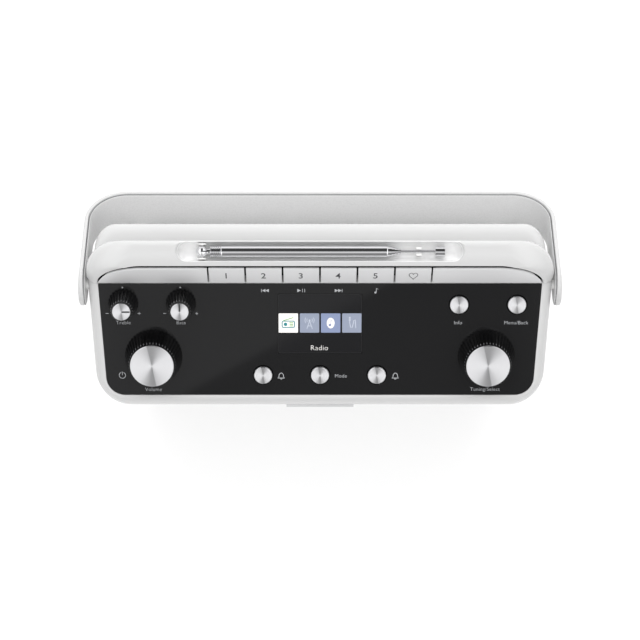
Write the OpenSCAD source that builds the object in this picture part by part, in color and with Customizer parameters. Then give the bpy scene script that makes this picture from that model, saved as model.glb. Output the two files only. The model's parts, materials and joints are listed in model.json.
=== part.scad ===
// Tabletop radio: sloped control panel, raised hood with preset keys and a telescopic antenna,
// swinging carrying handle. Millimetres, +Z up, front towards -Y.
// Origin: on the table, under the middle of the radio with its handle folded back.

/* [Cabinet] */
// Width of the cabinet at the seam under the hood
body_w = 272.4; // [260:0.2:290]
// Depth of the cabinet, front lip to rear face
body_d = 106.8; // [104:0.2:112]
// Height of the seam between cabinet and hood
seam_z = 138; // [130:1:150]
// Height of the hood above the seam
hood_h = 17; // [16:0.5:18]
// Slope of the control panel, degrees from level
panel_slope = 20; // [18:0.5:22]
// Inward lean of the side walls towards the base, degrees
side_lean = 8.4; // [6:0.2:10]
// Thickness of the moulded walls
wall = 3; // [2.5:0.1:3.5]
// Height of the rubber feet
foot_h = 3; // [2:0.5:5]

/* [Control panel] */
// Length of the panel, measured down the slope
panel_l = 69.6; // [68:0.2:72]
// Width of the panel at its top edge
panel_w = 258.2; // [250:0.2:262]
// Width of the screen area
screen_w = 48.96; // [40:0.01:50]
// Height of the screen area, measured down the slope
screen_h = 36.72; // [30:0.01:38]
// Diameter of the push buttons
button_d = 10.6; // [9:0.1:11]
// Travel of the push buttons
button_travel = 0.8; // [0.4:0.1:1.2]

/* [Knobs] */
// Base diameter of the volume and tuning knobs
big_knob_d = 33.9; // [30:0.1:36]
// Cap diameter of the volume and tuning knobs
big_cap_d = 25.4; // [20:0.1:27]
// Height of the volume and tuning knobs above the panel
big_knob_h = 16.3; // [12:0.1:20]
// Base diameter of the treble and bass knobs
small_knob_d = 17.8; // [15:0.1:19]
// Cap diameter of the treble and bass knobs
small_cap_d = 10.4; // [9:0.1:12]
// Height of the treble and bass knobs above the panel
small_knob_h = 15; // [11:0.1:17]

/* [Keys] */
// Centre distance of the preset keys
key_pitch = 21.63; // [20:0.01:22]
// Gap between two keys
key_gap = 0.8; // [0.6:0.1:1.2]
// Travel of the preset keys
key_travel = 1.2; // [0.6:0.1:1.6]

/* [Handle] */
// Width of the handle band
handle_band_w = 25; // [20:0.5:26]
// Inside reach of the handle, pivot to band
handle_reach = 65; // [62:0.5:75]
// Width over the handle's arms
handle_w = 281; // [280:0.5:290]
// Angle below level at which the folded handle lies
handle_fold = 45; // [42:1:46]

/* [Antenna] */
// Diameter of the outermost antenna tube
antenna_d = 7; // [6.6:0.1:7]
// Distance of the antenna hinge from the middle
antenna_x = 68; // [66:0.5:70]
// Length of the antenna recess
recess_l = 164; // [160:1:168]

/* [Hidden] */
$fn = 64;
eps = 0.01;
big = 400;
half_w = body_w / 2;
base_z = foot_h;
rear_step = 10.8;
hinge_to_rear = rear_step + 24.7;
badge_proud = 1.6;
band_t = 2.4;
lining_t = 0.7;
handle_overhang = (handle_reach + lining_t + band_t) * cos(handle_fold)
    + handle_band_w / 2 * sin(handle_fold) - hinge_to_rear;
mid_y = (badge_proud - handle_overhang) / 2;
front_y = mid_y - body_d / 2;
rear_y = mid_y + body_d / 2;
hood_rear_y = rear_y - rear_step;
hinge_y = rear_y - hinge_to_rear;
shoulder_z = seam_z - 18;
split_y = hood_rear_y - 16.1;
front_r = 20;
hood_r = 18.4;
rear_r = 17;
bottom_r = 8;
panel_t = 2.5;
panel_gap = 0.25;
panel_ledge = 3;
panel_corner_r = 11;
panel_taper = 3.6;
top_to_screen = 24.9;
panel_y0 = hinge_y + 0.2 - top_to_screen * cos(panel_slope);
panel_z0 = seam_z - top_to_screen * sin(panel_slope);
panel_bottom = panel_l - top_to_screen;
front_top_z = panel_z0 - panel_bottom * sin(panel_slope) - 7;
front_lean = 1.8;
rear_set = 3;
rear_lean = atan2(rear_set, shoulder_z - base_z);

// places on the panel: distance from the middle, and distance down the slope from the screen's middle
big_knob_x = 97.9;
big_knob_q = 20.5;
treble_x = -114.9;
bass_x = -81.2;
tone_q = -12.6;
menu_x = 115;
info_x = 81.2;
menu_q = -12;
alarm_x = 33.55;
alarm_q = 32;
button_r = button_d / 2;
button_hole_r = button_r + 0.8;
button_proud = 1.6;
knob_gap = 1;
big_shaft_r = 3;
small_shaft_r = 2;
fit = 0.05;
board_z = -10;
board_t = 1.6;
switch_h = 3.5;

key_rise = hood_h;
key_run = 10.4;
key_angle = atan2(key_rise, key_run);
key_face = 16;
key_t = 5;
key_w = key_pitch - key_gap;
key_row = 6 * key_pitch;
end_outer = 129;

pivot_z = seam_z - 8.5;
lining_w = 22;
handle_out = handle_w / 2;
band_in = handle_out - band_t;
band_r = 25;
pin_r = 3;
cap_r = 6.9;
cap_t = 0.75;
boss_r = 8;
bumper_x = 108;
bumper_h = 1.8;

recess_r = 5.4;
antenna_y = hood_rear_y - 6.2;
antenna_z = seam_z + hood_h - 3.6;
ball_r = antenna_d / 2;
tube_end = [39.1, 41.2, 43, 44.8, 46.6];
tube_start = [-50, -48, -46, -44, -42];
tube_r = [antenna_d / 2, 3, 2.5, 2, 1.5];
rod_r = 0.95;
rod_end = 66.5;
tip_r = 2.95;
tip_l = 5.4;
collar_start = -63.3;
collar_end = -56.9;
clip_x = 57;

speaker_x = 68;
speaker_z = 56;
speaker_r = 31;
grille_w = 206;
grille_h = 84;
grille_z = 56;
grille_t = 1.2;
port_x = -62;
port_z = 46;
port_r = 14;
jack_z = 30;
dc_x = 84;
phones_x = 66;
aux_x = 50;
screw_x = 100;
screw_zs = [20, 106];
foot_x = 92;
front_foot_y = mid_y - 36;
rear_foot_y = mid_y + 20;

white = [0.94, 0.94, 0.94];
silver = [0.78, 0.78, 0.79];
black = [0.13, 0.13, 0.14];
chrome = [0.85, 0.85, 0.87];
green = [0.1, 0.35, 0.2];

// ---------- outlines ----------

// unit vector from p to q
function along(p, q) = (q - p) / norm(q - p);

// polygon with every corner rounded: radii gives one radius for each corner
function rounded(pts, radii, steps = 10) = [
    for (i = [0 : len(pts) - 1])
        let (
            p = pts[i],
            u = along(p, pts[(i + len(pts) - 1) % len(pts)]),
            v = along(p, pts[(i + 1) % len(pts)]),
            half = acos(u * v) / 2,
            r = radii[i],
            reach = r / tan(half),
            centre = p + (u + v) / norm(u + v) * r / sin(half),
            a = atan2((p + u * reach - centre)[1], (p + u * reach - centre)[0]),
            b = atan2((p + v * reach - centre)[1], (p + v * reach - centre)[0]),
            turn = (b - a + 540) % 360 - 180
        )
            each r == 0 ? [p] : [
                for (k = [0 : steps])
                    centre + r * [cos(a + turn * k / steps), sin(a + turn * k / steps)]
            ]
];

// polygon, listed anticlockwise, with every side moved inwards by e
function inset(pts, e) = [
    for (i = [0 : len(pts) - 1])
        let (
            p = pts[i],
            u = along(pts[(i + len(pts) - 1) % len(pts)], p),
            v = along(p, pts[(i + 1) % len(pts)]),
            nu = [-u[1], u[0]],
            nv = [-v[1], v[0]]
        )
            p + (nu + nv) * e / (1 + nu * nv)
];

// half width of the side walls at height z
function half_at(z) = half_w - (seam_z - z) * tan(side_lean);

// depth of the rear wall's outer face at height z
function rear_wall_y(z) = rear_y - rear_set * (shoulder_z - z) / (shoulder_z - base_z);

// side view of cabinet and rear shell together, as [y, z]
function body_side() = [
    [front_y + (front_top_z - base_z) * tan(front_lean), base_z],
    [rear_y - rear_set, base_z],
    [rear_y, shoulder_z],
    [hood_rear_y, shoulder_z],
    [hood_rear_y, seam_z],
    [hinge_y + 0.2, seam_z],
    [front_y + 1.2, panel_z0 - (panel_y0 - front_y - 1.2) * tan(panel_slope)],
    [front_y, front_top_z]
];
body_side_r = [bottom_r, bottom_r, 8, 3, 0, 0, 4, 6];

// front view of the hood: elliptic shoulders a wide and b high, as [x, z]
function hood_front(w, a, b) = [
    [-w, seam_z - 1],
    [w, seam_z - 1],
    for (t = [0 : 6 : 90]) [w - a + a * cos(t), seam_z + b * sin(t)],
    for (t = [90 : 6 : 180]) [-w + a + a * cos(t), seam_z + b * sin(t)]
];

// fascia outline on the panel plane, grown by g
module panel_outline(g = 0) {
    polygon(rounded(
        [
            [-panel_w / 2 - g, top_to_screen + g],
            [-panel_w / 2 + panel_taper - g, -panel_bottom - g],
            [panel_w / 2 - panel_taper + g, -panel_bottom - g],
            [panel_w / 2 + g, top_to_screen + g]
        ],
        [0.8, panel_corner_r + g, panel_corner_r + g, 0.8]
    ));
}

// ---------- placing ----------

// puts its children on the panel: x across, y up the slope, z out of the panel, from the screen's middle
module on_panel(x = 0, q = 0) {
    translate([0, panel_y0, panel_z0])
        rotate([panel_slope, 0, 0])
            translate([x, -q, 0])
                children();
}

// turns an outline in [y, z] into a block across the object
module across(w) {
    translate([-w / 2, 0, 0])
        rotate([90, 0, 90])
            linear_extrude(w)
                children();
}

// turns an outline in [x, z] into a block from front to back
module lengthwise(y0, y1) {
    translate([0, y1, 0])
        rotate([90, 0, 0])
            linear_extrude(y1 - y0)
                children();
}

// a cylinder along X
module rod_x(x0, x1, r) {
    translate([x0, 0, 0])
        rotate([0, 90, 0])
            cylinder(r = r, h = x1 - x0);
}

module on_antenna() {
    translate([0, antenna_y, antenna_z])
        children();
}

// handle frame: y from the pivot to the band, z across the band
module on_handle() {
    translate([0, hinge_y, pivot_z])
        rotate([-handle_fold, 0, 0])
            children();
}

// the front wall's frame: x across, y up, z out of the wall
module on_front(x, z) {
    translate([x, front_y + (front_top_z - z) * tan(front_lean), z])
        rotate([90 + front_lean, 0, 0])
            children();
}

// ---------- shells ----------

// block with leaning sides and round upright corners, walls moved in by e
module leaning_block(y0, y1, r0, r1, z0, z1, e) {
    hull()
        for (z = [z0, z1])
            for (s = [-1, 1]) {
                translate([s * (half_at(z) - r0), y0 + r0, z])
                    cylinder(r = r0 - e, h = eps, $fn = 48);
                translate([s * (half_at(z) - r1), y1 - r1, z])
                    cylinder(r = r1 - e, h = eps, $fn = 48);
            }
}

// everything under the seam, walls moved in by e
module body_blank(e) {
    intersection() {
        union() {
            leaning_block(front_y, rear_y, front_r, rear_r, base_z - 1, shoulder_z - e, e);
            leaning_block(front_y, hood_rear_y, front_r, hood_r, shoulder_z - 20, seam_z + 1, e);
        }
        across(big)
            polygon(rounded(inset(body_side(), e), body_side_r));
        lengthwise(-big / 2, big / 2)
            polygon(rounded(
                [
                    [-half_at(base_z) + e, base_z + e],
                    [half_at(base_z) - e, base_z + e],
                    [half_at(seam_z + 9) - e, seam_z + 9],
                    [-half_at(seam_z + 9) + e, seam_z + 9]
                ],
                [front_r, front_r, 0, 0]
            ));
    }
}

// space behind the split plane, or in front of it
module behind(y) {
    translate([-big / 2, y, -big / 2])
        cube([big, big, big]);
}

module cabinet() {
    color(white)
        difference() {
            union() {
                difference() {
                    body_blank(0);
                    body_blank(wall);
                }
                pivot_bosses();
                body_ledge();
            }
            behind(split_y);
            on_panel()
                translate([0, 0, -panel_t - 0.1])
                    linear_extrude(30)
                        panel_outline(panel_gap);
            on_panel()
                translate([0, 0, -12])
                    linear_extrude(30)
                        panel_outline(-panel_ledge);
            hood_opening();
            grille_opening();
            pivot_bores();
        }
}

// shelf under the control panel, all round its edge
module body_ledge() {
    intersection() {
        body_blank(0.5);
        on_panel()
            translate([0, 0, -panel_t - 3])
                linear_extrude(3)
                    panel_outline(6);
    }
}

// opening in the cabinet's top, under the keys and the hood
module hood_opening() {
    translate([-end_outer - 0.5, hinge_y + 0.2, seam_z - 3])
        cube([2 * end_outer + 1, big, 20]);
}

module grille_opening() {
    on_front(0, grille_z) {
        translate([0, 0, -grille_t])
            linear_extrude(10)
                grille_outline(0.2);
        translate([0, 0, -10])
            linear_extrude(20)
                grille_outline(-5);
    }
}

module grille_outline(g) {
    w = grille_w / 2 + g;
    h = grille_h / 2 + g;
    polygon(rounded([[-w + 8, -h], [w - 8, -h], [w, h], [-w, h]], [16, 16, 16, 16]));
}

module pivot_bosses() {
    for (s = [-1, 1])
        translate([0, hinge_y, pivot_z])
            mirror([s < 0 ? 1 : 0, 0, 0])
                rod_x(half_w - 12, half_w + 0.1, boss_r);
}

module pivot_bores() {
    for (s = [-1, 1])
        translate([0, hinge_y, pivot_z])
            mirror([s < 0 ? 1 : 0, 0, 0])
                rod_x(half_w - 10, half_w + 5, pin_r + fit);
}

module rear_shell() {
    color(white)
        difference() {
            intersection() {
                difference() {
                    body_blank(0);
                    body_blank(wall);
                }
                behind(split_y + 0.02);
            }
            translate([-end_outer + 4, 0, seam_z - 6])
                cube([2 * end_outer - 8, hood_rear_y - wall, 20]);
            rear_hole(port_x, port_z, port_r + 0.1);
            rear_hole(dc_x, jack_z, 4.1);
            rear_hole(phones_x, jack_z, 3.6);
            rear_hole(aux_x, jack_z, 3.6);
            for (x = [-screw_x, screw_x])
                for (z = screw_zs)
                    rear_hole(x, z, 1.6);
        }
}

module rear_hole(x, z, r) {
    translate([x, rear_y + 5, z])
        rotate([90, 0, 0])
            cylinder(r = r, h = 16);
}

module top_cover() {
    color(white)
        difference() {
            union() {
                difference() {
                    hood_blank(0);
                    hood_blank(wall - 0.5);
                }
                recess_tray();
            }
            key_window();
            recess_space();
            on_antenna()
                translate([-antenna_x, 0, 0]) {
                    translate([0, 0, -12])
                        cylinder(r = 2.3, h = 12);
                    translate([-3.4, -4.8, -recess_r + 0.8])
                        cube([6.8, 9.6, recess_r]);
                }
        }
}

// hood with its walls moved in by e; the underside stays open
module hood_blank(e) {
    intersection() {
        leaning_block(
            front_y, hood_rear_y, front_r, hood_r, seam_z + 0.02 - (e > 0 ? 2 : 0), seam_z + hood_h + 3, e
        );
        across(big)
            polygon(rounded(
                [
                    [hood_rear_y - e, seam_z - 3],
                    [hood_rear_y - e, seam_z + hood_h - e],
                    [hinge_y + 0.2 + key_run + e * 0.55, seam_z + hood_h - e],
                    [hinge_y + 0.2 - 0.612 * 3 + e * 1.17, seam_z - 3]
                ],
                [0, 3, 6, 0]
            ));
        lengthwise(-big / 2, big / 2)
            polygon(hood_front(half_w - e, 30, hood_h - e));
    }
}

module recess_tray() {
    intersection() {
        hood_blank(0.2);
        on_antenna()
            translate([-recess_l / 2 - 2, -recess_r - 1.6, -recess_r - 1.6])
                cube([recess_l + 4, 30, 30]);
    }
}

module recess_space() {
    on_antenna() {
        rod_x(-recess_l / 2 + recess_r, recess_l / 2 - recess_r, recess_r);
        for (s = [-1, 1])
            translate([s * (recess_l / 2 - recess_r), 0, 0]) {
                sphere(r = recess_r);
                cylinder(r = recess_r, h = 20);
            }
        translate([-recess_l / 2 + recess_r, -recess_r, 0])
            cube([recess_l - 2 * recess_r, 2 * recess_r, 20]);
    }
}

// opening in the hood's front face for keys and end panels
module key_window() {
    intersection() {
        key_slab(2 * end_outer + 0.6, -3, 12, -4, key_face + 0.6);
        lengthwise(-big / 2, big / 2)
            polygon(hood_front(end_outer + 0.3, 26, hood_h - 3));
    }
}

// slab on the key face: w wide, from depth d0 to d1 into the hood, from s0 to s1 up the face
module key_slab(w, d0, d1, s0, s1) {
    translate([-w / 2, hinge_y + 0.2, seam_z])
        rotate([key_angle, 0, 0])
            translate([0, s0, -d1])
                cube([w, s1 - s0, d1 - d0]);
}

// ---------- front ----------

module speaker_grille() {
    color(silver)
        on_front(0, grille_z)
            translate([0, 0, -grille_t])
                linear_extrude(grille_t + 0.4)
                    grille_outline(0);
}

module front_badge() {
    color(silver)
        on_front(0, front_top_z - 4.4)
            translate([-20, -3, 0])
                cube([40, 6, badge_proud]);
}

// ---------- control panel ----------

module control_panel() {
    color(black)
        difference() {
            on_panel()
                translate([0, 0, -panel_t])
                    linear_extrude(panel_t)
                        panel_outline();
            on_panel()
                translate([-screen_w / 2 - 0.2, -screen_h / 2 - 0.2, -5])
                    cube([screen_w + 0.4, screen_h + 0.4, 10]);
            for (x = [-big_knob_x, big_knob_x])
                panel_bore(x, big_knob_q, big_shaft_r + 0.4);
            for (x = [treble_x, bass_x])
                panel_bore(x, tone_q, small_shaft_r + 0.4);
            for (x = [-alarm_x, 0, alarm_x])
                panel_bore(x, alarm_q, button_hole_r);
            for (x = [info_x, menu_x])
                panel_bore(x, menu_q, button_hole_r);
        }
}

module panel_bore(x, q, r) {
    on_panel(x, q)
        translate([0, 0, -5])
            cylinder(r = r, h = 10);
}

module display_window() {
    color([0.16, 0.17, 0.18])
        on_panel()
            translate([-screen_w / 2, -screen_h / 2, -1.5])
                cube([screen_w, screen_h, 1.5]);
}

module display_module() {
    color([0.3, 0.32, 0.36])
        on_panel()
            translate([-screen_w / 2 - 4, -screen_h / 2 - 3, -5])
                cube([screen_w + 8, screen_h + 6, 2.4]);
}

module control_board() {
    color(green)
        difference() {
            on_panel()
                translate([-120, -panel_bottom + 7, board_z - board_t])
                    cube([240, panel_l - 14, board_t]);
            for (x = [-big_knob_x, big_knob_x])
                on_panel(x, big_knob_q)
                    translate([0, 0, board_z - 5])
                        cylinder(r = 4.5, h = 10);
        }
}

module key_board() {
    color(green)
        key_slab(key_row + 10, key_t + switch_h + 1.4, key_t + switch_h + 3, 3, 12);
}

module main_board() {
    color(green)
        translate([-80, mid_y - 30, 18])
            cube([160, 62, board_t]);
}

// square switch with a round plunger, standing on its board, clear of the full travel above it
module tact_switch(travel) {
    top = switch_h - travel - fit;
    translate([-3, -3, 0])
        cube([6, 6, top - 0.4]);
    cylinder(r = 1.7, h = top);
}

module tact_switches() {
    color([0.2, 0.2, 0.2]) {
        for (p = [
            [-alarm_x, alarm_q], [0, alarm_q], [alarm_x, alarm_q], [info_x, menu_q], [menu_x, menu_q]
        ])
            on_panel(p[0], p[1])
                translate([0, 0, board_z])
                    tact_switch(button_travel);
        for (i = [0 : 5])
            translate([(i - 2.5) * key_pitch, hinge_y + 0.2, seam_z])
                rotate([key_angle, 0, 0])
                    translate([0, 8, -key_t - switch_h - 1.4])
                        tact_switch(key_travel);
    }
}

// ---------- knobs ----------

// one encoder housing with a bore for its shaft, open below for the push plunger
module encoder(x, q) {
    on_panel(x, q)
        difference() {
            translate([-6.5, -6.5, board_z])
                cube([13, 13, 6.4]);
            translate([0, 0, board_z - 1])
                cylinder(r = 4.2, h = 4.4);
            cylinder(r = big_shaft_r + 0.1, h = 20, center = true);
        }
}

module encoders() {
    color([0.55, 0.56, 0.58]) {
        encoder(-big_knob_x, big_knob_q);
        encoder(big_knob_x, big_knob_q);
    }
}

module tone_pots() {
    color([0.25, 0.45, 0.3])
        for (x = [treble_x, bass_x])
            on_panel(x, tone_q)
                difference() {
                    translate([-5, -5.5, board_z])
                        cube([10, 11, 6.4]);
                    translate([0, 0, board_z + 1.5])
                        cylinder(r = small_shaft_r + 0.1, h = 10);
                }
}

// disc that the pushed shaft moves inside the encoder
module plunger(x) {
    color([0.85, 0.85, 0.8])
        on_panel(x, big_knob_q)
            translate([0, 0, board_z - 0.6])
                cylinder(r = 4, h = 2);
}

module volume_plunger() {
    plunger(-big_knob_x);
}

module tuning_plunger() {
    plunger(big_knob_x);
}

// round shaft from the control's inside up into the knob
module shaft(x, q, r, z0, z1) {
    color(silver)
        on_panel(x, q)
            translate([0, 0, z0])
                cylinder(r = r, h = z1 - z0);
}

module volume_shaft() {
    shaft(-big_knob_x, big_knob_q, big_shaft_r, board_z + 1.5, 12);
}

module tuning_shaft() {
    shaft(big_knob_x, big_knob_q, big_shaft_r, board_z + 1.5, 12);
}

module treble_shaft() {
    shaft(treble_x, tone_q, small_shaft_r, board_z + 1.6, 10.5);
}

module bass_shaft() {
    shaft(bass_x, tone_q, small_shaft_r, board_z + 1.6, 10.5);
}

// conical knob skirt with a hub bored for its shaft, hollow between hub and skirt
module knob(x, q, d, cap_d, h, shaft_r, shaft_top) {
    cap_t = 1.6;
    color(black)
        on_panel(x, q)
            rotate_extrude()
                polygon([
                    [shaft_r, knob_gap + 0.5],
                    [shaft_r + 1.8, knob_gap + 0.5],
                    [shaft_r + 1.8, h - cap_t - 4],
                    [cap_d / 2 - 1, h - cap_t - 4],
                    [d / 2 - 1.8, knob_gap],
                    [d / 2, knob_gap],
                    [d / 2, knob_gap + 1.4],
                    [cap_d / 2 + 0.6, h - cap_t],
                    [0, h - cap_t],
                    [0, shaft_top],
                    [shaft_r, shaft_top]
                ]);
}

module knob_cap(x, q, cap_d, h) {
    color(chrome)
        on_panel(x, q)
            rotate_extrude()
                polygon([
                    [0, h - 1.6],
                    [cap_d / 2, h - 1.6],
                    [cap_d / 2, h - 0.6],
                    [cap_d / 2 - 0.6, h],
                    [0, h]
                ]);
}

module volume_knob() {
    knob(-big_knob_x, big_knob_q, big_knob_d, big_cap_d, big_knob_h, big_shaft_r, 12);
}

module volume_cap() {
    knob_cap(-big_knob_x, big_knob_q, big_cap_d, big_knob_h);
}

module tuning_knob() {
    knob(big_knob_x, big_knob_q, big_knob_d, big_cap_d, big_knob_h, big_shaft_r, 12);
}

module tuning_cap() {
    knob_cap(big_knob_x, big_knob_q, big_cap_d, big_knob_h);
}

module treble_knob() {
    knob(treble_x, tone_q, small_knob_d, small_cap_d, small_knob_h, small_shaft_r, 10.5);
}

module treble_cap() {
    knob_cap(treble_x, tone_q, small_cap_d, small_knob_h);
}

module bass_knob() {
    knob(bass_x, tone_q, small_knob_d, small_cap_d, small_knob_h, small_shaft_r, 10.5);
}

module bass_cap() {
    knob_cap(bass_x, tone_q, small_cap_d, small_knob_h);
}

// ---------- buttons ----------

// domed metal disc on a stem, kept in by a flange under the panel
module push_button(x, q) {
    color(chrome)
        on_panel(x, q)
            rotate_extrude()
                polygon([
                    [0, board_z + switch_h + 0.05],
                    [1.8, board_z + switch_h + 0.05],
                    [1.8, -panel_t - 1.2],
                    [button_hole_r + 0.8, -panel_t - 1.2],
                    [button_hole_r + 0.8, -panel_t - 0.3],
                    [button_r, -panel_t - 0.3],
                    [button_r, button_proud - 0.4],
                    [button_r - 0.4, button_proud],
                    [0, button_proud]
                ]);
}

module alarm_1_button() {
    push_button(-alarm_x, alarm_q);
}

module mode_button() {
    push_button(0, alarm_q);
}

module alarm_2_button() {
    push_button(alarm_x, alarm_q);
}

module info_button() {
    push_button(info_x, menu_q);
}

module menu_button() {
    push_button(menu_x, menu_q);
}

// ---------- keys ----------

// one preset key: plate on the sloping face with a post that reaches its switch
module key(i) {
    color(silver)
        translate([(i - 2.5) * key_pitch, 0, 0]) {
            key_slab(key_w, 0, key_t - 2, 0.5, key_face);
            key_slab(4, key_t - 2 - eps, key_t + 1.35, 6, 10);
        }
}

module key_1() {
    key(0);
}

module key_2() {
    key(1);
}

module key_3() {
    key(2);
}

module key_4() {
    key(3);
}

module key_5() {
    key(4);
}

module key_favourite() {
    key(5);
}

// blank plate between the keys and the side of the hood, with an elliptic outer corner
module key_end(s) {
    color(silver)
        intersection() {
            key_slab(2 * end_outer, 0, key_t - 2, 0.5, key_face);
            lengthwise(-big / 2, big / 2)
                polygon(hood_front(end_outer, 25.8, hood_h - 3.3));
            translate([s > 0 ? key_row / 2 + key_gap / 2 : -big - key_row / 2 - key_gap / 2, 0, 0])
                cube([big, big, big]);
        }
}

module key_end_left() {
    key_end(-1);
}

module key_end_right() {
    key_end(1);
}

// ---------- handle ----------

// U outline in the handle's plane: half width w, reach l, corner radius r
module u_outline(w, l, r) {
    polygon(rounded(
        [[-w, -handle_band_w], [w, -handle_band_w], [w, l], [-w, l]],
        [0, 0, r, r],
        24
    ));
}

module handle_band() {
    color(white)
        on_handle()
            difference() {
                intersection() {
                    linear_extrude(handle_band_w, center = true)
                        difference() {
                            u_outline(handle_out, handle_reach + lining_t + band_t, band_r);
                            u_outline(band_in, handle_reach + lining_t, band_r - band_t);
                        }
                    union() {
                        rod_x(-big / 2, big / 2, handle_band_w / 2);
                        translate([-big / 2, 0, -big / 2])
                            cube([big, big, big]);
                    }
                }
                rod_x(-big / 2, big / 2, pin_r + fit);
            }
}

module handle_lining() {
    color([0.8, 0.8, 0.81])
        on_handle()
            intersection() {
                linear_extrude(lining_w, center = true)
                    difference() {
                        u_outline(band_in, handle_reach + lining_t, band_r - band_t);
                        u_outline(band_in - lining_t, handle_reach, band_r - band_t - lining_t);
                    }
                translate([-big / 2, 14, -big / 2])
                    cube([big, big, big]);
            }
}

module handle_pins() {
    color(white)
        for (s = [-1, 1])
            translate([0, hinge_y, pivot_z])
                mirror([s < 0 ? 1 : 0, 0, 0]) {
                    rod_x(half_w - 9.5, handle_out + 0.1, pin_r);
                    rod_x(handle_out + 0.05, handle_out + 0.05 + cap_t, cap_r);
                }
}

module handle_bumpers() {
    z = pivot_z - 52;
    color([0.8, 0.8, 0.8])
        for (s = [-1, 1])
            translate([s * bumper_x, rear_wall_y(z), z])
                rotate([-90 - rear_lean, 0, 0])
                    cylinder(r = 4, h = bumper_h);
}

// ---------- antenna ----------

module antenna_base() {
    color(chrome)
        on_antenna()
            translate([-antenna_x, 0, 0]) {
                translate([0, 0, -recess_r - 1.8])
                    cylinder(r = 2.2, h = 3.2);
                translate([-3.2, -4.6, -recess_r + 0.9])
                    cube([6.4, 9.2, 0.8]);
                for (s = [-1, 1])
                    translate([0, s * 4.2, 0])
                        rotate([90, 0, 0])
                            cylinder(r = 2.6, h = 0.8, center = true);
                for (s = [-1, 1])
                    translate([-2.4, s * 4.2 - 0.4, -recess_r + 0.9])
                        cube([4.8, 0.8, recess_r - 1]);
                rotate([90, 0, 0])
                    cylinder(r = 0.8, h = 9, center = true);
            }
}

// ball, neck, ribbed collar and outermost tube
module antenna_tube_1() {
    color(chrome)
        on_antenna()
            difference() {
                union() {
                    translate([-antenna_x, 0, 0])
                        sphere(r = ball_r);
                    rod_x(-antenna_x, collar_start + 0.5, 2);
                    rod_x(collar_start, collar_end, 3);
                    for (i = [0 : 3])
                        rod_x(collar_start + 0.3 + i * 1.55, collar_start + 1.2 + i * 1.55, 3.25);
                    rod_x(collar_end, tube_end[0], tube_r[0]);
                }
                rod_x(tube_start[0], 100, tube_r[1] + fit);
                translate([-antenna_x, 0, 0])
                    rotate([90, 0, 0])
                        cylinder(r = 0.8 + fit, h = 12, center = true);
            }
}

// tube i of the telescope, bored for the next piece
module antenna_tube(i, next_r) {
    color(chrome)
        on_antenna()
            difference() {
                rod_x(tube_start[i], tube_end[i], tube_r[i]);
                rod_x(tube_start[i] - 1, tube_end[i] + 1, next_r + fit);
            }
}

module antenna_tube_2() {
    antenna_tube(1, tube_r[2]);
}

module antenna_tube_3() {
    antenna_tube(2, tube_r[3]);
}

module antenna_tube_4() {
    antenna_tube(3, tube_r[4]);
}

module antenna_tube_5() {
    antenna_tube(4, rod_r);
}

module antenna_rod() {
    color(chrome)
        on_antenna() {
            rod_x(-40, rod_end + 1, rod_r);
            rod_x(rod_end, rod_end + tip_l, tip_r);
        }
}

// two prongs that hold the rod, on a foot on the recess floor
module antenna_clip() {
    color(white)
        on_antenna()
            translate([clip_x - 1.5, 0, 0]) {
                translate([0, -2.4, -recess_r + 0.7])
                    cube([3, 4.8, 1]);
                for (s = [-1, 1])
                    translate([0, s * 1.8 - 0.6, -recess_r + 0.7])
                        cube([3, 1.2, recess_r + 0.6]);
            }
}

// ---------- inside and behind ----------

module speaker_baskets() {
    color([0.2, 0.2, 0.22])
        for (s = [-1, 1])
            on_front(s * speaker_x, speaker_z)
                difference() {
                    union() {
                        translate([0, 0, -wall - 3])
                            cylinder(r = speaker_r, h = 2.6);
                        translate([0, 0, -wall - 20])
                            cylinder(r1 = 17, r2 = 28, h = 17.5);
                        translate([0, 0, -wall - 32])
                            cylinder(r = 16, h = 12.5);
                    }
                    translate([0, 0, -wall - 18])
                        cylinder(r1 = 14, r2 = 26, h = 18.5);
                }
}

module speaker_cones() {
    color([0.1, 0.1, 0.1])
        for (s = [-1, 1])
            on_front(s * speaker_x, speaker_z)
                rotate_extrude()
                    polygon([
                        [0, -wall - 14],
                        [8, -wall - 13.5],
                        [22, -wall - 4],
                        [22, -wall - 5.2],
                        [8, -wall - 15],
                        [0, -wall - 15.5]
                    ]);
}

module bass_port() {
    color(black)
        translate([port_x, rear_y + 0.2, port_z])
            rotate([90, 0, 0])
                difference() {
                    union() {
                        cylinder(r = port_r, h = 40);
                        cylinder(r = port_r + 3, h = 1.6);
                    }
                    translate([0, 0, -1])
                        cylinder(r = port_r - 2, h = 60);
                }
}

module power_inlet() {
    color(black)
        translate([dc_x, rear_y - 0.6, jack_z])
            rotate([90, 0, 0])
                difference() {
                    union() {
                        cylinder(r = 4, h = 6);
                        translate([-4.5, -4.5, 6])
                            cube([9, 9, 8]);
                    }
                    difference() {
                        translate([0, 0, -1])
                            cylinder(r = 2.75, h = 12);
                        cylinder(r = 1, h = 13);
                    }
                }
}

// round audio socket
module jack(x) {
    translate([x, rear_y - 0.6, jack_z])
        rotate([90, 0, 0])
            difference() {
                union() {
                    cylinder(r = 3.5, h = 6);
                    translate([-4, -4, 6])
                        cube([8, 8, 9]);
                }
                translate([0, 0, -1])
                    cylinder(r = 1.8, h = 14);
            }
}

module audio_jacks() {
    color([0.2, 0.2, 0.2]) {
        jack(phones_x);
        jack(aux_x);
    }
}

module feet() {
    color([0.25, 0.25, 0.25])
        for (x = [-foot_x, foot_x])
            for (y = [front_foot_y, rear_foot_y])
                translate([x, y, 0])
                    cylinder(r1 = 8, r2 = 8.6, h = foot_h);
}

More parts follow.
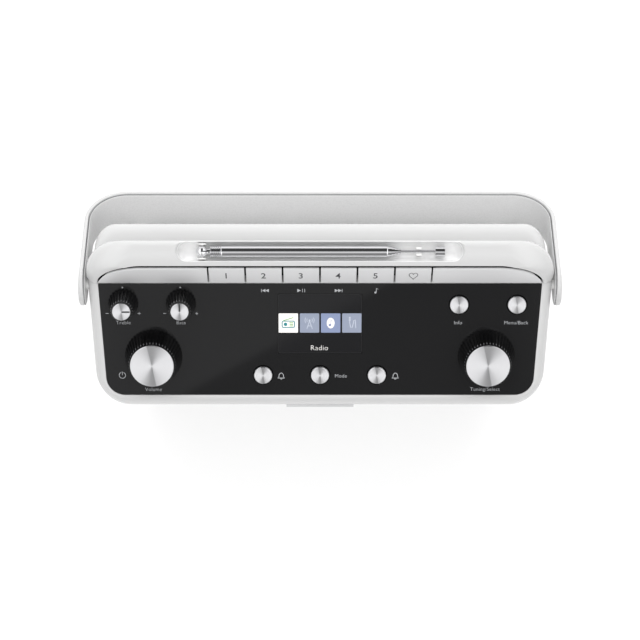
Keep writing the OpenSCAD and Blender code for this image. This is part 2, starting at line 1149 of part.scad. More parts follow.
module screws() {
    color([0.3, 0.3, 0.3])
        for (x = [-screw_x, screw_x])
            for (z = screw_zs)
                translate([x, rear_wall_y(z), z])
                    rotate([90 - rear_lean, 0, 0])
                        translate([0, 0, -1]) {
                            cylinder(r = 2.7, h = 1);
                            cylinder(r = 1.5, h = 10);
                        }
}

cabinet();
rear_shell();
top_cover();
speaker_grille();
front_badge();
control_panel();
display_window();
display_module();
control_board();
key_board();
main_board();
tact_switches();
encoders();
tone_pots();
volume_plunger();
volume_shaft();
volume_knob();
volume_cap();
tuning_plunger();
tuning_shaft();
tuning_knob();
tuning_cap();
treble_shaft();
treble_knob();
treble_cap();
bass_shaft();
bass_knob();
bass_cap();
alarm_1_button();
mode_button();
alarm_2_button();
info_button();
menu_button();
key_1();
key_2();
key_3();
key_4();
key_5();
key_favourite();
key_end_left();
key_end_right();
handle_band();
handle_lining();
handle_pins();
handle_bumpers();
antenna_base();
antenna_tube_1();
antenna_tube_2();
antenna_tube_3();
antenna_tube_4();
antenna_tube_5();
antenna_rod();
antenna_clip();
speaker_baskets();
speaker_cones();
bass_port();
power_inlet();
audio_jacks();
feet();
screws();
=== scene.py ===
import json
import math

import bmesh
import bpy
import numpy as np
from bpy.props import FloatProperty, IntProperty, PointerProperty
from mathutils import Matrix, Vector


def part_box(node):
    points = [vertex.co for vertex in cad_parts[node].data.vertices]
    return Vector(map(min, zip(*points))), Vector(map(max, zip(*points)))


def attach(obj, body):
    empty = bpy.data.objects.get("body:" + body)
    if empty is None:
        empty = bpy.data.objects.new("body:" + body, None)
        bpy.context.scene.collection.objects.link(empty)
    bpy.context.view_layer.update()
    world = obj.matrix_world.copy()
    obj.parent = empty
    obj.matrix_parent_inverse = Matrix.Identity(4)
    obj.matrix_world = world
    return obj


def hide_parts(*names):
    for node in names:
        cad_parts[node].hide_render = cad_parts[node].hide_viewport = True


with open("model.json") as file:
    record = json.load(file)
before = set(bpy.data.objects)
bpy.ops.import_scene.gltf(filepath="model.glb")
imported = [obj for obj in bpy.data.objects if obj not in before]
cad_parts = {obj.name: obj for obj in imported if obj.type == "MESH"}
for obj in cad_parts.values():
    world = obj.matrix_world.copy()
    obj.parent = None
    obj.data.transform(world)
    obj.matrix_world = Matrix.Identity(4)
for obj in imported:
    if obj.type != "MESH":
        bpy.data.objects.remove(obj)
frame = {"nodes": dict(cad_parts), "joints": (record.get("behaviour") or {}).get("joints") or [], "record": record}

bl_info = {
    "name": "Tabletop radio looks",
    "version": (1, 0, 0),
    "blender": (4, 5, 0),
    "location": "View3D > Sidebar > Radio",
    "description": "Shells, knobs, keys, screen, handle and antenna of a tabletop radio",
    "category": "Object",
}

# ---------------------------------------------------------------- places, in millimetres, from the frame

MM = 0.001
JOINTS = {j["name"]: j for j in frame["joints"]}
BODY_OF = {n: b for b, ns in frame["record"]["behaviour"]["bodies"].items() for n in ns}
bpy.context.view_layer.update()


def corners(node):
    """Lowest and highest corner of a CAD node, in millimetres."""
    low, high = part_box(node)
    return np.array(low) / MM, np.array(high) / MM


def joint_place(name):
    """A joint's place in millimetres and its axis as a unit vector."""
    joint = JOINTS[name]
    axis = np.array(joint["axis"], float)
    return np.array(joint.get("pos_m", (0, 0, 0)), float) / MM, axis / np.linalg.norm(axis)


X_AXIS = np.array([1.0, 0.0, 0.0])

# Shells: half width, the seam between hood and cabinet, the front wall, the split between cabinet and
# rear shell.
HOOD_LOW, HOOD_HIGH = corners("top_cover")
HALF_W = HOOD_HIGH[0]
SEAM_Y, HOOD_REAR = HOOD_LOW[1], HOOD_HIGH[1]
SEAM_Z, HOOD_TOP = HOOD_LOW[2], HOOD_HIGH[2]
FRONT_Y, BASE_Z = corners("cabinet")[0][1], corners("cabinet")[0][2]
SPLIT_Y = corners("cabinet")[1][1]
REAR_Y = corners("rear_shell")[1][1]
SIDE_LEAN = math.tan(math.radians(8.4))
FRONT_LEAN = math.tan(math.radians(1.8))
# The front wall leans back only from this far below the seam.
FRONT_STRAIGHT = 30
# The cabinet's rim starts to roll over this far below the panel's plane.
RIM_DROP = 5.5
# The hood's and the shells' hidden edges overlap by this much below the seam.
SKIRT = 5.0
# Round holes in the rear wall: across, height and radius of the bass port, the mains socket and two sound
# sockets.
REAR_HOLES = ((-62, 46, 14.1), (84, 30, 4.1), (66, 30, 3.6), (50, 30, 3.6))

# Control panel: its slope, the screen's middle, and the panel's outline measured from there.
PANEL_OUT = joint_place("volume_turn")[1]
PANEL_UP = np.cross(PANEL_OUT, X_AXIS)
WINDOW_T = 1.5
PANEL_MID = sum(corners("display_window")) / 2 + PANEL_OUT * WINDOW_T / 2
PANEL_EDGE = {"top": 24.9, "low": -44.7, "wide": 129.1, "narrow": 125.5, "corner": 11.0}
SCREEN_W, SCREEN_H = 48.96, 36.72
# Round buttons, and how far up the panel each stands.
BUTTONS = {"alarm_1": -32.0, "mode": -32.0, "alarm_2": -32.0, "info": 12.0, "menu": 12.0}
# Knobs. Skirt: radius at base and top, height. Cap: radius, foot, face, chamfer, hollow. Rib: bars of painted
# highlight on the rib crests, radius at foot and top, foot, top. The last number is the depth of a groove.
BIG_KNOB = ((16.95, 13.3, 16.3), (12.7, 15.5, 16.3, 0.3, 0.12), (13.75, 13.4, 13.6, 15.0), 0.95)
TONE_KNOB = ((8.9, 6.0, 15.0), (5.2, 14.3, 15.0, 0.25, 0.08), (6.42, 6.12, 12.4, 13.6), 0.8)
# Way each tone knob's pointer lies at rest, from straight across.
POINTER_TURN = {"treble": 0.0, "bass": np.pi / 2}

# Keys: the slope of their faces, the opening that they stand in, and their own height and depth.
KEY_IN = joint_place("key_1_press")[1]
KEY_UP = np.cross(X_AXIS, KEY_IN) * -1
KEY_UP = KEY_UP * np.sign(KEY_UP[2])
KEY_FOOT = np.array([0.0, SEAM_Y, SEAM_Z])
WINDOW_W, WINDOW_BOW, WINDOW_TALL = 129.9, 26.2, 17.8
KEY_TALL, KEY_DEEP = 15.5, 3.0
KEY_SOFT = 0.35

# Handle's pivot and the antenna's axis; the trough's half length, radius, and the lip's width and height.
PIVOT = joint_place("handle_swing")[0]
HANDLE_FOLD = math.radians(45)
ANTENNA = joint_place("antenna_lift")[0]
TROUGH_HALF, TROUGH_R = 82.0, 5.4
LIP_W, LIP_H = 3.0, 3.3

# Painted reflection: spun metal's colour is darkened in two sectors, standing in for the dark wedges that its
# reflection shows; each pair is a place once round the cap and the share of the colour left there.
PAINTED_REFLECTION_WEDGES = ((0.15, 1.0), (0.25, 0.66), (0.276, 0.6), (0.284, 1.0), (0.6, 1.0), (0.7, 0.78), (0.782, 0.66),
               (0.79, 1.0))
# Perforated sheet: distance between holes along a row, and between a row and the next but one.
HOLE_PITCH, ROW_PITCH = 3.0, 5.196
# Normal of the plane that cuts the mirrored grey strip along a slanting edge.
CARD_EDGE = (-0.476, 0.673, 0.565)
# Stage, in metres: the lamp, the point that it is aimed at, its length and width, and the camera.
LAMP_PLACE, LAMP_AIM, LAMP_SIZE = (0.0, 2.4, 1.9), (0.0, 0.0, 0.1), (3.0, 1.2)
CAMERA_PLACE = (0.0, -0.01305, 1.477)


def on_panel(x, up, out):
    """Panel coordinates to the shared frame: across, up the slope from the screen's middle, out of the
    panel."""
    x, up, out = np.broadcast_arrays(x, up, out)
    return PANEL_MID + x[..., None] * X_AXIS + up[..., None] * PANEL_UP + out[..., None] * PANEL_OUT


def on_keys(x, up, out):
    """Key-face coordinates to the shared frame: across, up the face from the seam, out of the face."""
    x, up, out = np.broadcast_arrays(x, up, out)
    return KEY_FOOT + x[..., None] * X_AXIS + up[..., None] * KEY_UP - out[..., None] * KEY_IN


def panel_height(y):
    """Height of the panel's plane at depth y."""
    return PANEL_MID[2] + (y - PANEL_MID[1]) * PANEL_UP[2] / PANEL_UP[1]


# ---------------------------------------------------------------- meshes


def grid_faces(rows, columns, wrap=True):
    """Quads between neighbouring rows of a grid of points; wrap joins the last column to the first."""
    r = np.arange(rows - 1)[:, None]
    c = np.arange(columns if wrap else columns - 1)[None, :]
    after = (c + 1) % columns
    quads = [r * columns + c, r * columns + after, (r + 1) * columns + after, (r + 1) * columns + c]
    return np.stack(np.broadcast_arrays(*quads), -1).reshape(-1, 4).tolist()


def make_mesh(name, points, faces, sharp=35.0):
    """A mesh from points in millimetres: doubles merged, normals outwards, edges over the sharp angle
    crisp."""
    mesh = bpy.data.meshes.new(name)
    mesh.from_pydata((np.asarray(points).reshape(-1, 3) * MM).tolist(), [], faces)
    bm = bmesh.new()
    bm.from_mesh(mesh)
    bmesh.ops.remove_doubles(bm, verts=bm.verts, dist=2e-6)
    bmesh.ops.recalc_face_normals(bm, faces=bm.faces)
    bm.to_mesh(mesh)
    bm.free()
    return finish_mesh(mesh, sharp)


def finish_mesh(mesh, sharp=35.0):
    """Smooth shading with edges over the sharp angle kept crisp."""
    mesh.validate()
    mesh.polygons.foreach_set("use_smooth", np.ones(len(mesh.polygons), bool))
    mesh.set_sharp_from_angle(angle=math.radians(sharp))
    mesh.update()
    return mesh


def show(name, mesh, material, node, replaces=True):
    """Puts a finished mesh in the scene. It moves with a CAD node's body, and replaces that node or
    sits on it."""
    piece = bpy.data.objects.new(name, mesh)
    bpy.context.scene.collection.objects.link(piece)
    mesh.materials.clear()
    mesh.materials.append(paint(material))
    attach(piece, BODY_OF[node])
    if replaces:
        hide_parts(node)
    return piece


def loft(name, rings, sharp=35.0):
    """Closed skin through rings of points, all with the same count, each end closed by a flat face."""
    rings = np.asarray(rings)
    rows, columns = rings.shape[:2]
    faces = grid_faces(rows, columns)
    faces += [list(range(columns))[::-1], list(range((rows - 1) * columns, rows * columns))]
    return make_mesh(name, rings, faces, sharp)


def lathe(name, profile, place, count=96, wave=None, sharp=35.0):
    """Profile of (radius, height) turned about an axis: the point is radius * (cos a, sin a), at its
    height. place takes across, up and out; wave changes the radius by angle and height."""
    profile = np.asarray(profile, float)
    a = np.linspace(0, 2 * np.pi, count, endpoint=False)[None, :]
    r, h = profile[:, 0][:, None], profile[:, 1][:, None]
    r, h, a = np.broadcast_arrays(r, h, a)
    if wave is not None:
        r = wave(r, h, a)
    points = place(r * np.cos(a), r * np.sin(a), h)
    return loft(name, points, sharp)


def bend(start, corner, end, count=8):
    """Points of a quarter bend from start to end, tangent to the corner's two sides: an ellipse's
    quarter."""
    t = np.linspace(0, np.pi / 2, count + 1)[:, None]
    start, corner, end = (np.asarray(p, float) for p in (start, corner, end))
    return corner + (start - corner) * (1 - np.sin(t)) + (end - corner) * (1 - np.cos(t))


def path_points(*parts):
    """Joins points and arrays of points into one outline."""
    return np.concatenate([np.atleast_2d(np.asarray(p, float)) for p in parts])


def rounded_outline(points, radii, arc=12, side=6):
    """Closed outline of straight sides and round corners, with the same count of points at any size."""
    points = np.asarray(points, float)
    arcs = []
    for i, (p, r) in enumerate(zip(points, radii)):
        u = points[i - 1] - p
        v = points[(i + 1) % len(points)] - p
        u, v = u / np.linalg.norm(u), v / np.linalg.norm(v)
        t = np.linspace(0, 1, arc + 1)[:, None]
        if r <= 0:
            arcs.append(np.repeat(p[None, :], arc + 1, 0))
            continue
        half = np.arccos(np.clip(u @ v, -1, 1)) / 2
        centre = p + (u + v) / np.linalg.norm(u + v) * r / np.sin(half)
        turn = np.pi - 2 * half
        start, end = p + u * r / np.tan(half) - centre, p + v * r / np.tan(half) - centre
        arcs.append(centre + (np.sin((1 - t) * turn) * start + np.sin(t * turn) * end) / np.sin(turn))
    out = []
    for i, this in enumerate(arcs):
        after = arcs[(i + 1) % len(arcs)]
        t = np.linspace(0, 1, side + 1)[1:-1, None]
        out += [this, this[-1] + (after[0] - this[-1]) * t]
    return np.concatenate(out)


def as_mesh(holder):
    """A new mesh of an object's shape, with its modifiers worked out or its letters filled."""
    bpy.context.view_layer.update()
    view = bpy.context.evaluated_depsgraph_get()
    return bpy.data.meshes.new_from_object(holder.evaluated_get(view))


def cut(piece, cutters):
    """Cuts closed meshes out of a piece's closed mesh."""
    for mesh in cutters:
        tool = bpy.data.objects.new("cutter", mesh)
        bpy.context.scene.collection.objects.link(tool)
        modifier = piece.modifiers.new("cut", "BOOLEAN")
        modifier.operation = "DIFFERENCE"
        modifier.solver = "EXACT"
        modifier.object = tool
        cut_mesh = as_mesh(piece)
        piece.modifiers.remove(modifier)
        piece.data = cut_mesh
        bpy.data.objects.remove(tool)
    return piece.data


def repaint(mesh, picked, material="painted_shade"):
    """Gives the faces that picked chooses, from their middles and normals in millimetres, another
    material."""
    count = len(mesh.polygons)
    middles, normals = np.zeros(count * 3), np.zeros(count * 3)
    mesh.polygons.foreach_get("center", middles)
    mesh.polygons.foreach_get("normal", normals)
    mesh.materials.append(paint(material))
    chosen = picked(middles.reshape(-1, 3) / MM, normals.reshape(-1, 3))
    index = np.zeros(count, np.int32)
    mesh.polygons.foreach_get("material_index", index)
    index = np.where(chosen, len(mesh.materials) - 1, index)
    mesh.polygons.foreach_set("material_index", index.astype(np.int32))


def key_coordinates(points):
    """Points of the shared frame as across, up the key face, and out of it."""
    away = points - KEY_FOOT
    return away[:, 0], away @ KEY_UP, -(away @ KEY_IN)


def key_window_painted_shade(middles, normals):
    """Faces of the key window's walls, just under the hood's skin."""
    across, up, out = key_coordinates(middles)
    bow = np.clip((np.abs(across) - WINDOW_W + WINDOW_BOW) / WINDOW_BOW, 0, 1)
    inside = up < (WINDOW_TALL + 0.1) * np.sqrt(1 - bow ** 2) + 0.1
    wall = (np.abs(normals @ KEY_IN) < 0.5) | (out < -4)
    return (out < -0.4) & (out > -4.7) & (up > -6) & inside & wall


def trough_painted_light(middles, normals):
    """Faces that lie on the antenna trough's own surface."""
    away = middles - ANTENNA
    widths, heights = trough_profile().T
    across = np.hypot(np.clip(np.abs(middles[:, 0]) - TROUGH_HALF + TROUGH_R, 0, None), away[:, 1])
    near = np.abs(across - np.interp(away[:, 2], heights, widths)) < 0.5
    return (near | (away[:, 2] < 0)) & (away[:, 2] > -6) & (away[:, 2] < 2.3) & (across < 7.6)


def key_sides_painted_shade(middles, normals):
    """Faces of a key below its rounded edge."""
    out = key_coordinates(middles)[2]
    return (out < -1.3) | ((out < -0.25) & (np.abs(normals[:, 0]) > 0.6))


# ---------------------------------------------------------------- materials


def linear(colour):
    """An sRGB hex value, or a colour that is linear already, as linear red, green, blue and alpha."""
    if not isinstance(colour, str):
        return (*list(colour)[:3], 1.0)
    value = int(colour.lstrip("#"), 16)
    srgb = np.array([value >> 16 & 255, value >> 8 & 255, value & 255]) / 255
    lin = np.where(srgb <= 0.04045, srgb / 12.92, ((srgb + 0.055) / 1.055) ** 2.4)
    return (*lin.tolist(), 1.0)


def fill(tree, node, sockets):
    """Gives each of a node's sockets a value, or a link from another node's output."""
    for key, value in sockets.items():
        if isinstance(value, bpy.types.NodeSocket):
            tree.links.new(value, node.inputs[key])
        else:
            node.inputs[key].default_value = value


def add(tree, kind, settings=None, into=(), **sockets):
    """Adds a node. Settings are the node's own values; into fills its first sockets in order, and the
    others by name, each with a value or another node's output."""
    node = tree.nodes.new(kind)
    for key, value in (settings or {}).items():
        setattr(node, key, value)
    fill(tree, node, dict(enumerate(into)))
    fill(tree, node, {key.replace("_", " "): value for key, value in sockets.items()})
    return node


def blank(name):
    """A material with one Principled shader, its node tree and the piece's own coordinates."""
    material = bpy.data.materials.new(name)
    material.use_nodes = True
    tree = material.node_tree
    where = add(tree, "ShaderNodeTexCoord").outputs["Object"]
    return material, tree, tree.nodes["Principled BSDF"], where


def moulded(name, colour, roughness, grain_mm, depth_mm, coat=0.0, contrast=0.03, ior=1.5):
    """Moulded plastic: nearly even colour, a shallow grain from the tool's surface and slightly uneven
    gloss."""
    material, tree, shader, where = blank(name)
    grain = add(tree, "ShaderNodeTexNoise", Scale=1 / (grain_mm * MM), Detail=3.0, Vector=where)
    broad = add(tree, "ShaderNodeTexNoise", Scale=18.0, Detail=2.0, Vector=where)
    base = np.array(linear(colour))
    tint = add(tree, "ShaderNodeValToRGB", Fac=broad.outputs["Fac"])
    dark, light = tint.color_ramp.elements
    dark.position, light.position = 0.3, 0.7
    dark.color = (*(base[:3] * (1 - contrast)), 1)
    light.color = (*np.minimum(base[:3] * (1 + contrast), 1), 1)
    gloss = add(tree, "ShaderNodeMapRange", To_Min=roughness * 0.85, To_Max=roughness * 1.15,
                Value=broad.outputs["Fac"])
    bump = add(tree, "ShaderNodeBump", Strength=0.35, Distance=depth_mm * MM, Height=grain.outputs["Fac"])
    fill(tree, shader, {"Base Color": tint.outputs["Color"], "Roughness": gloss.outputs["Result"],
                        "Normal": bump.outputs["Normal"], "IOR": ior})
    if coat:
        fill(tree, shader, {"Coat Weight": coat, "Coat Roughness": 0.03})
    return material


def metal(name, colour, roughness, streak_mm, streak=(1.0, 1.0, 1.0)):
    """Bare or plated metal: mirror-like, with fine streaks from polishing or drawing along one
    direction."""
    material, tree, shader, where = blank(name)
    turned = add(tree, "ShaderNodeMapping", Scale=streak, Vector=where)
    lines = add(tree, "ShaderNodeTexNoise", Scale=1 / (streak_mm * MM), Detail=4.0,
                Vector=turned.outputs["Vector"])
    gloss = add(tree, "ShaderNodeMapRange", To_Min=roughness * 0.7, To_Max=roughness * 1.4,
                Value=lines.outputs["Fac"])
    bump = add(tree, "ShaderNodeBump", Strength=0.2, Distance=0.004 * MM, Height=lines.outputs["Fac"])
    fill(tree, shader, {"Base Color": linear(colour), "Metallic": 1.0, "Roughness": gloss.outputs["Result"],
                        "Normal": bump.outputs["Normal"]})
    return material


def spun(name, colour, roughness):
    """Spun aluminium: fine turned rings about the piece's own centre, which smear each highlight into a
    wedge, and two sectors that darken towards one side."""
    material, tree, shader, _ = blank(name)
    turn = add(tree, "ShaderNodeTangent", {"direction_type": "UV_MAP", "uv_map": "spin"})
    spin = add(tree, "ShaderNodeUVMap", {"uv_map": "spin"})
    parts = add(tree, "ShaderNodeSeparateXYZ", Vector=spin.outputs["UV"])
    rings = add(tree, "ShaderNodeTexNoise", {"noise_dimensions": "1D"}, Scale=90.0, Detail=2.0,
                W=parts.outputs["Y"])
    gloss = add(tree, "ShaderNodeMapRange", To_Min=roughness * 0.8, To_Max=roughness * 1.25,
                Value=rings.outputs["Fac"])
    bump = add(tree, "ShaderNodeBump", Strength=0.15, Distance=0.01 * MM, Height=rings.outputs["Fac"])
    # Painted reflection: the colour darkens in two sectors once round the cap, and turns with the cap.
    round_once = add(tree, "ShaderNodeMapRange", From_Min=-0.5, From_Max=0.5, Value=parts.outputs["X"])
    wedge = add(tree, "ShaderNodeValToRGB", Fac=round_once.outputs["Result"])
    stops = wedge.color_ramp.elements
    for place, shade in PAINTED_REFLECTION_WEDGES:
        stops.new(place).color = (*(np.array(linear(colour)[:3]) * shade), 1)
    for stop in (stops[0], stops[-1]):
        stop.color = linear(colour)
    fill(tree, shader, {"Base Color": wedge.outputs["Color"], "Metallic": 1.0, "Anisotropic": 0.85,
                        "Anisotropic Rotation": 0.25, "Roughness": gloss.outputs["Result"],
                        "Normal": bump.outputs["Normal"], "Tangent": turn.outputs["Tangent"]})
    return material


def backlit(name, colour, glow):
    """Matt white acrylic lit from underneath: even colour, fine surface speckle and its own soft light."""
    material, tree, shader, where = blank(name)
    speck = add(tree, "ShaderNodeTexNoise", Scale=400.0, Detail=2.0, Vector=where)
    gloss = add(tree, "ShaderNodeMapRange", To_Min=0.8, To_Max=0.95, Value=speck.outputs["Fac"])
    fill(tree, shader, {"Base Color": linear(colour), "Roughness": gloss.outputs["Result"],
                        "Emission Color": linear("#FFFFFF"), "Emission Strength": glow})
    return material


def perforated(name, colour):
    """Perforated sheet: powder-coated steel with staggered round holes, dark where a hole is. The holes
    are where the squared distance to the nearest centre of either of two lattices, half a cell apart,
    is small."""
    material, tree, shader, where = blank(name)
    parts = add(tree, "ShaderNodeSeparateXYZ", Vector=where)
    lattices = []
    for shift in (0.0, 0.5):
        squares = []
        for axis, pitch in (("X", HOLE_PITCH), ("Z", ROW_PITCH)):
            cells = add(tree, "ShaderNodeMath", {"operation": "MULTIPLY_ADD"},
                        [parts.outputs[axis], 1 / (pitch * MM), shift + 100.0])
            inside = add(tree, "ShaderNodeMath", {"operation": "FRACT"}, [cells.outputs["Value"]])
            away = add(tree, "ShaderNodeMath", {"operation": "MULTIPLY_ADD"},
                       [inside.outputs["Value"], pitch, -pitch / 2])
            square = add(tree, "ShaderNodeMath", {"operation": "MULTIPLY"}, [away.outputs["Value"]] * 2)
            squares.append(square.outputs["Value"])
        lattices.append(add(tree, "ShaderNodeMath", {"operation": "ADD"}, squares).outputs["Value"])
    nearest = add(tree, "ShaderNodeMath", {"operation": "MINIMUM"}, lattices)
    hole = add(tree, "ShaderNodeMapRange", From_Min=0.65, From_Max=0.85, Value=nearest.outputs["Value"])
    tint = add(tree, "ShaderNodeValToRGB", Fac=hole.outputs["Result"])
    tint.color_ramp.elements[0].color = linear("#08080A")
    tint.color_ramp.elements[1].color = linear(colour)
    bump = add(tree, "ShaderNodeBump", Strength=0.6, Distance=0.5 * MM, Height=hole.outputs["Result"])
    fill(tree, shader, {"Base Color": tint.outputs["Color"], "Normal": bump.outputs["Normal"],
                        "Roughness": 0.45})
    return material


def leatherette(name, colour, roughness=0.42):
    """Coated leatherette: soft pebble grain pressed into a satin coating, a little darker in the
    valleys."""
    material, tree, shader, where = blank(name)
    pebble = add(tree, "ShaderNodeTexVoronoi", {"feature": "SMOOTH_F1"}, Scale=1 / (0.9 * MM), Vector=where)
    fine = add(tree, "ShaderNodeTexNoise", Scale=1 / (0.35 * MM), Detail=3.0, Vector=where)
    height = add(tree, "ShaderNodeMath", {"operation": "ADD"},
                 [pebble.outputs["Distance"], fine.outputs["Fac"]])
    tint = add(tree, "ShaderNodeValToRGB", Fac=pebble.outputs["Distance"])
    base = np.array(linear(colour))[:3]
    tint.color_ramp.elements[0].color = (*base, 1)
    tint.color_ramp.elements[1].color = (*(base * 0.9), 1)
    bump = add(tree, "ShaderNodeBump", Strength=0.25, Distance=0.08 * MM, Height=height.outputs["Value"])
    fill(tree, shader, {"Base Color": tint.outputs["Color"], "Normal": bump.outputs["Normal"],
                        "Roughness": roughness})
    return material


def printed(name, colour, glow=0.0):
    """Printed ink or a lit part of the screen: even, slightly soft at its surface, with its own light
    if it glows."""
    material, tree, shader, where = blank(name)
    speck = add(tree, "ShaderNodeTexNoise", Scale=1 / (0.2 * MM), Detail=2.0, Vector=where)
    gloss = add(tree, "ShaderNodeMapRange", To_Min=0.35, To_Max=0.5, Value=speck.outputs["Fac"])
    fill(tree, shader, {"Base Color": linear(colour), "Roughness": gloss.outputs["Result"]})
    if glow:
        fill(tree, shader, {"Emission Color": linear(colour), "Emission Strength": glow})
    return material


MADE = {}


def paint(name):
    """The material of that name, made once and shared by the pieces."""
    look = bpy.context.scene.radio_looks
    recipes = {
        "shell": lambda: moulded("white_abs_moulded", look.shell, 0.24, 1.6, 0.02, coat=0.2, contrast=0.008),
        # Painted light: the shell's white plastic made brighter, so the antenna trough does not show its shade.
        "trough": lambda: moulded("white_abs_painted_light", "#F0F0F0", 0.2, 1.6, 0.01, contrast=0.008),
        "panel": lambda: moulded("black_acrylic_moulded", look.panel, 0.025, 5.0, 0.0004, contrast=0.02),
        "screen": lambda: moulded("screen_glass_bonded", look.screen, 0.045, 4.0, 0.0004, contrast=0.02),
        "key": lambda: moulded("silver_lacquered_abs", look.key, 0.36, 0.5, 0.015, contrast=0.015),
        "knob": lambda: moulded("black_nylon_moulded", look.knob, 0.24, 0.4, 0.006, contrast=0.1),
        # Painted highlight: light grey bars on the rib crests stand in for the glints the ribs catch.
        "rib": lambda: moulded("grey_painted_highlight", "#77777A", 0.2, 0.4, 0.004, contrast=0.05),
        "rubber": lambda: moulded("grey_rubber_moulded", "#5A5A5C", 0.7, 0.3, 0.03, contrast=0.08),
        "black": lambda: moulded("black_abs_moulded", "#1A1A1C", 0.4, 0.5, 0.02, contrast=0.08),
        "clip": lambda: moulded("white_acetal_moulded", "#F0F0EF", 0.3, 0.6, 0.01),
        # Painted shade: near-black with a low IOR so it hardly reflects, put on walls and gaps that would lie in
        # shade.
        "painted_shade": lambda: moulded("black_painted_shade", "#0A0A0B", 0.6, 0.5, 0.01, contrast=0.08,
                                  ior=1.12),
        "board": lambda: moulded("green_solder_mask_printed", "#0F4A2A", 0.35, 0.8, 0.02, contrast=0.2),
        "cone": lambda: moulded("black_paper_pulp_pressed", "#151517", 0.85, 0.6, 0.06, contrast=0.15),
        "basket": lambda: moulded("black_steel_painted", "#1D1D20", 0.5, 0.5, 0.02, contrast=0.1),
        "sheet": lambda: perforated("white_steel_perforated_powder_coated", look.grille),
        # Caps and buttons: spun aluminium whose colour holds a painted reflection, two darkened sectors.
        "cap": lambda: spun("aluminium_spun_painted_reflection", look.metal, 0.34),
        "chrome": lambda: metal("brass_chrome_plated", "#E6E6E8", 0.06, 0.6, (0.06, 1.0, 1.0)),
        "zinc": lambda: metal("steel_zinc_plated", "#B9BBBE", 0.35, 0.5),
        "screw": lambda: metal("steel_blackened", "#2A2A2C", 0.35, 0.4),
        "band": lambda: leatherette("white_leatherette_coated", look.handle),
        "lining": lambda: leatherette("grey_leatherette_coated", look.lining, 0.5),
        # Painted shade: a grey strip between band and lining stands in for the shade in the gap between them.
        "seam": lambda: leatherette("grey_painted_shade_line", "#8C8C8E", 0.6),
        "ink": lambda: printed("light_grey_ink_printed", "#B9BBBE"),
        "key_ink": lambda: printed("dark_grey_ink_printed", "#303134"),
        "pointer": lambda: printed("black_ink_printed", "#333335"),
        "frame_line": lambda: printed("black_frit_printed", "#141416"),
        "lit_white": lambda: printed("screen_white_lit", "#ECE9E6", 0.3),
        "lit_blue": lambda: printed("screen_blue_lit", "#7F8BAB", 0.22),
        "lit_grey": lambda: printed("screen_blue_grey_lit", "#8A92A5", 0.22),
        "lit_green": lambda: printed("screen_green_lit", "#5DA13C", 0.25),
        "lit_teal": lambda: printed("screen_teal_lit", "#1F7F86", 0.2),
        "lit_pale": lambda: printed("screen_pale_lit", "#C3C9D6", 0.12),
    }
    if name not in MADE:
        MADE[name] = recipes[name]()
    return MADE[name]


# ---------------------------------------------------------------- shells


def lean(outline, z):
    """Moves a seam-level outline to height z: the side walls close in and the front wall leans back."""
    z = np.broadcast_to(z, outline.shape[:1])
    x = outline[:, 0] * (HALF_W - (SEAM_Z - z) * SIDE_LEAN) / HALF_W
    share = np.clip((SPLIT_Y - outline[:, 1]) / (SPLIT_Y - FRONT_Y), 0, 1)
    y = outline[:, 1] + share * np.maximum(SEAM_Z - FRONT_STRAIGHT - z, 0) * FRONT_LEAN
    return np.stack([x, y, z], 1)


def shrink(ring, amount, middle):
    """Moves a ring towards the middle point by up to amount along x and y."""
    away = ring[:, :2] - middle
    reach = np.abs(away).max(0)
    out = ring.copy()
    out[:, :2] = middle + away * (reach - amount) / reach
    return out


def bottom_rings(outline, middle, radius=8.0, steps=8):
    """Rings of the flat base and its round edge: a quarter circle from the base up to the wall."""
    rings = []
    for inset in (0.55, 0.85):
        flat = shrink(lean(outline, BASE_Z), radius, middle)
        flat[:, :2] = middle + (flat[:, :2] - middle) * inset
        rings.append(flat)
    for a in np.linspace(0, np.pi / 2, steps + 1):
        ring = lean(outline, BASE_Z + radius * (1 - np.cos(a)))
        rings.append(shrink(ring, radius * (1 - np.sin(a)), middle))
    return rings


def panel_edge(grow, drop):
    """The fascia's outline on the panel, grown outwards and lowered under the panel's plane."""
    top, low = PANEL_EDGE["top"], PANEL_EDGE["low"]
    wide, narrow = PANEL_EDGE["wide"], PANEL_EDGE["narrow"]
    r = PANEL_EDGE["corner"]
    points = [[wide + grow, top + grow], [wide + grow, top + grow - 0.01], [narrow + grow, low - grow],
              [-narrow - grow, low - grow], [-wide - grow, top + grow - 0.01], [-wide - grow, top + grow]]
    flat = rounded_outline(points, [0, 0, r + grow, r + grow, 0, 0])
    return on_panel(flat[:, 0], flat[:, 1], -drop)


def cabinet_skin():
    """Front shell: rings climb from the base up the leaning walls, roll over the rim as a quarter
    ellipse, reach the edge of the fascia, and go down its recess."""
    outline = rounded_outline(
        [[HALF_W, SPLIT_Y], [HALF_W, SEAM_Y], [HALF_W, FRONT_Y], [-HALF_W, FRONT_Y],
         [-HALF_W, SEAM_Y], [-HALF_W, SPLIT_Y]],
        [0, 0, 20, 20, 0, 0])
    middle = np.array([0.0, (SPLIT_Y + FRONT_Y) / 2])
    rings = bottom_rings(outline, middle)
    for ring in rings:
        ring[:, 1] = np.where(outline[:, 1] > SPLIT_Y - 0.01, SPLIT_Y, ring[:, 1])
    under_hood = outline[:, 1] > SEAM_Y + 0.01
    top = np.where(under_hood, SEAM_Z - SKIRT, panel_height(outline[:, 1]) - RIM_DROP)
    foot = rings[-1][:, 2]
    for t in np.linspace(0, 1, 15)[1:]:
        rings.append(lean(outline, foot + (top - foot) * t))
    edge = panel_edge(0.25, 0.0)
    last = rings[-1]
    for a in np.linspace(0, np.pi / 2, 13)[1:]:
        across, up = 1 - np.cos(a) ** 1.15, np.sin(a)
        ring = last + (edge - last) * across
        ring[:, 2] = last[:, 2] + (edge[:, 2] - last[:, 2]) * up
        rings.append(ring)
    for grow, drop in ((0.25, 2.6), (-3.0, 2.7), (-3.0, 9.0)):
        rings.append(panel_edge(grow, drop))
    return loft("cabinet_skin", rings)


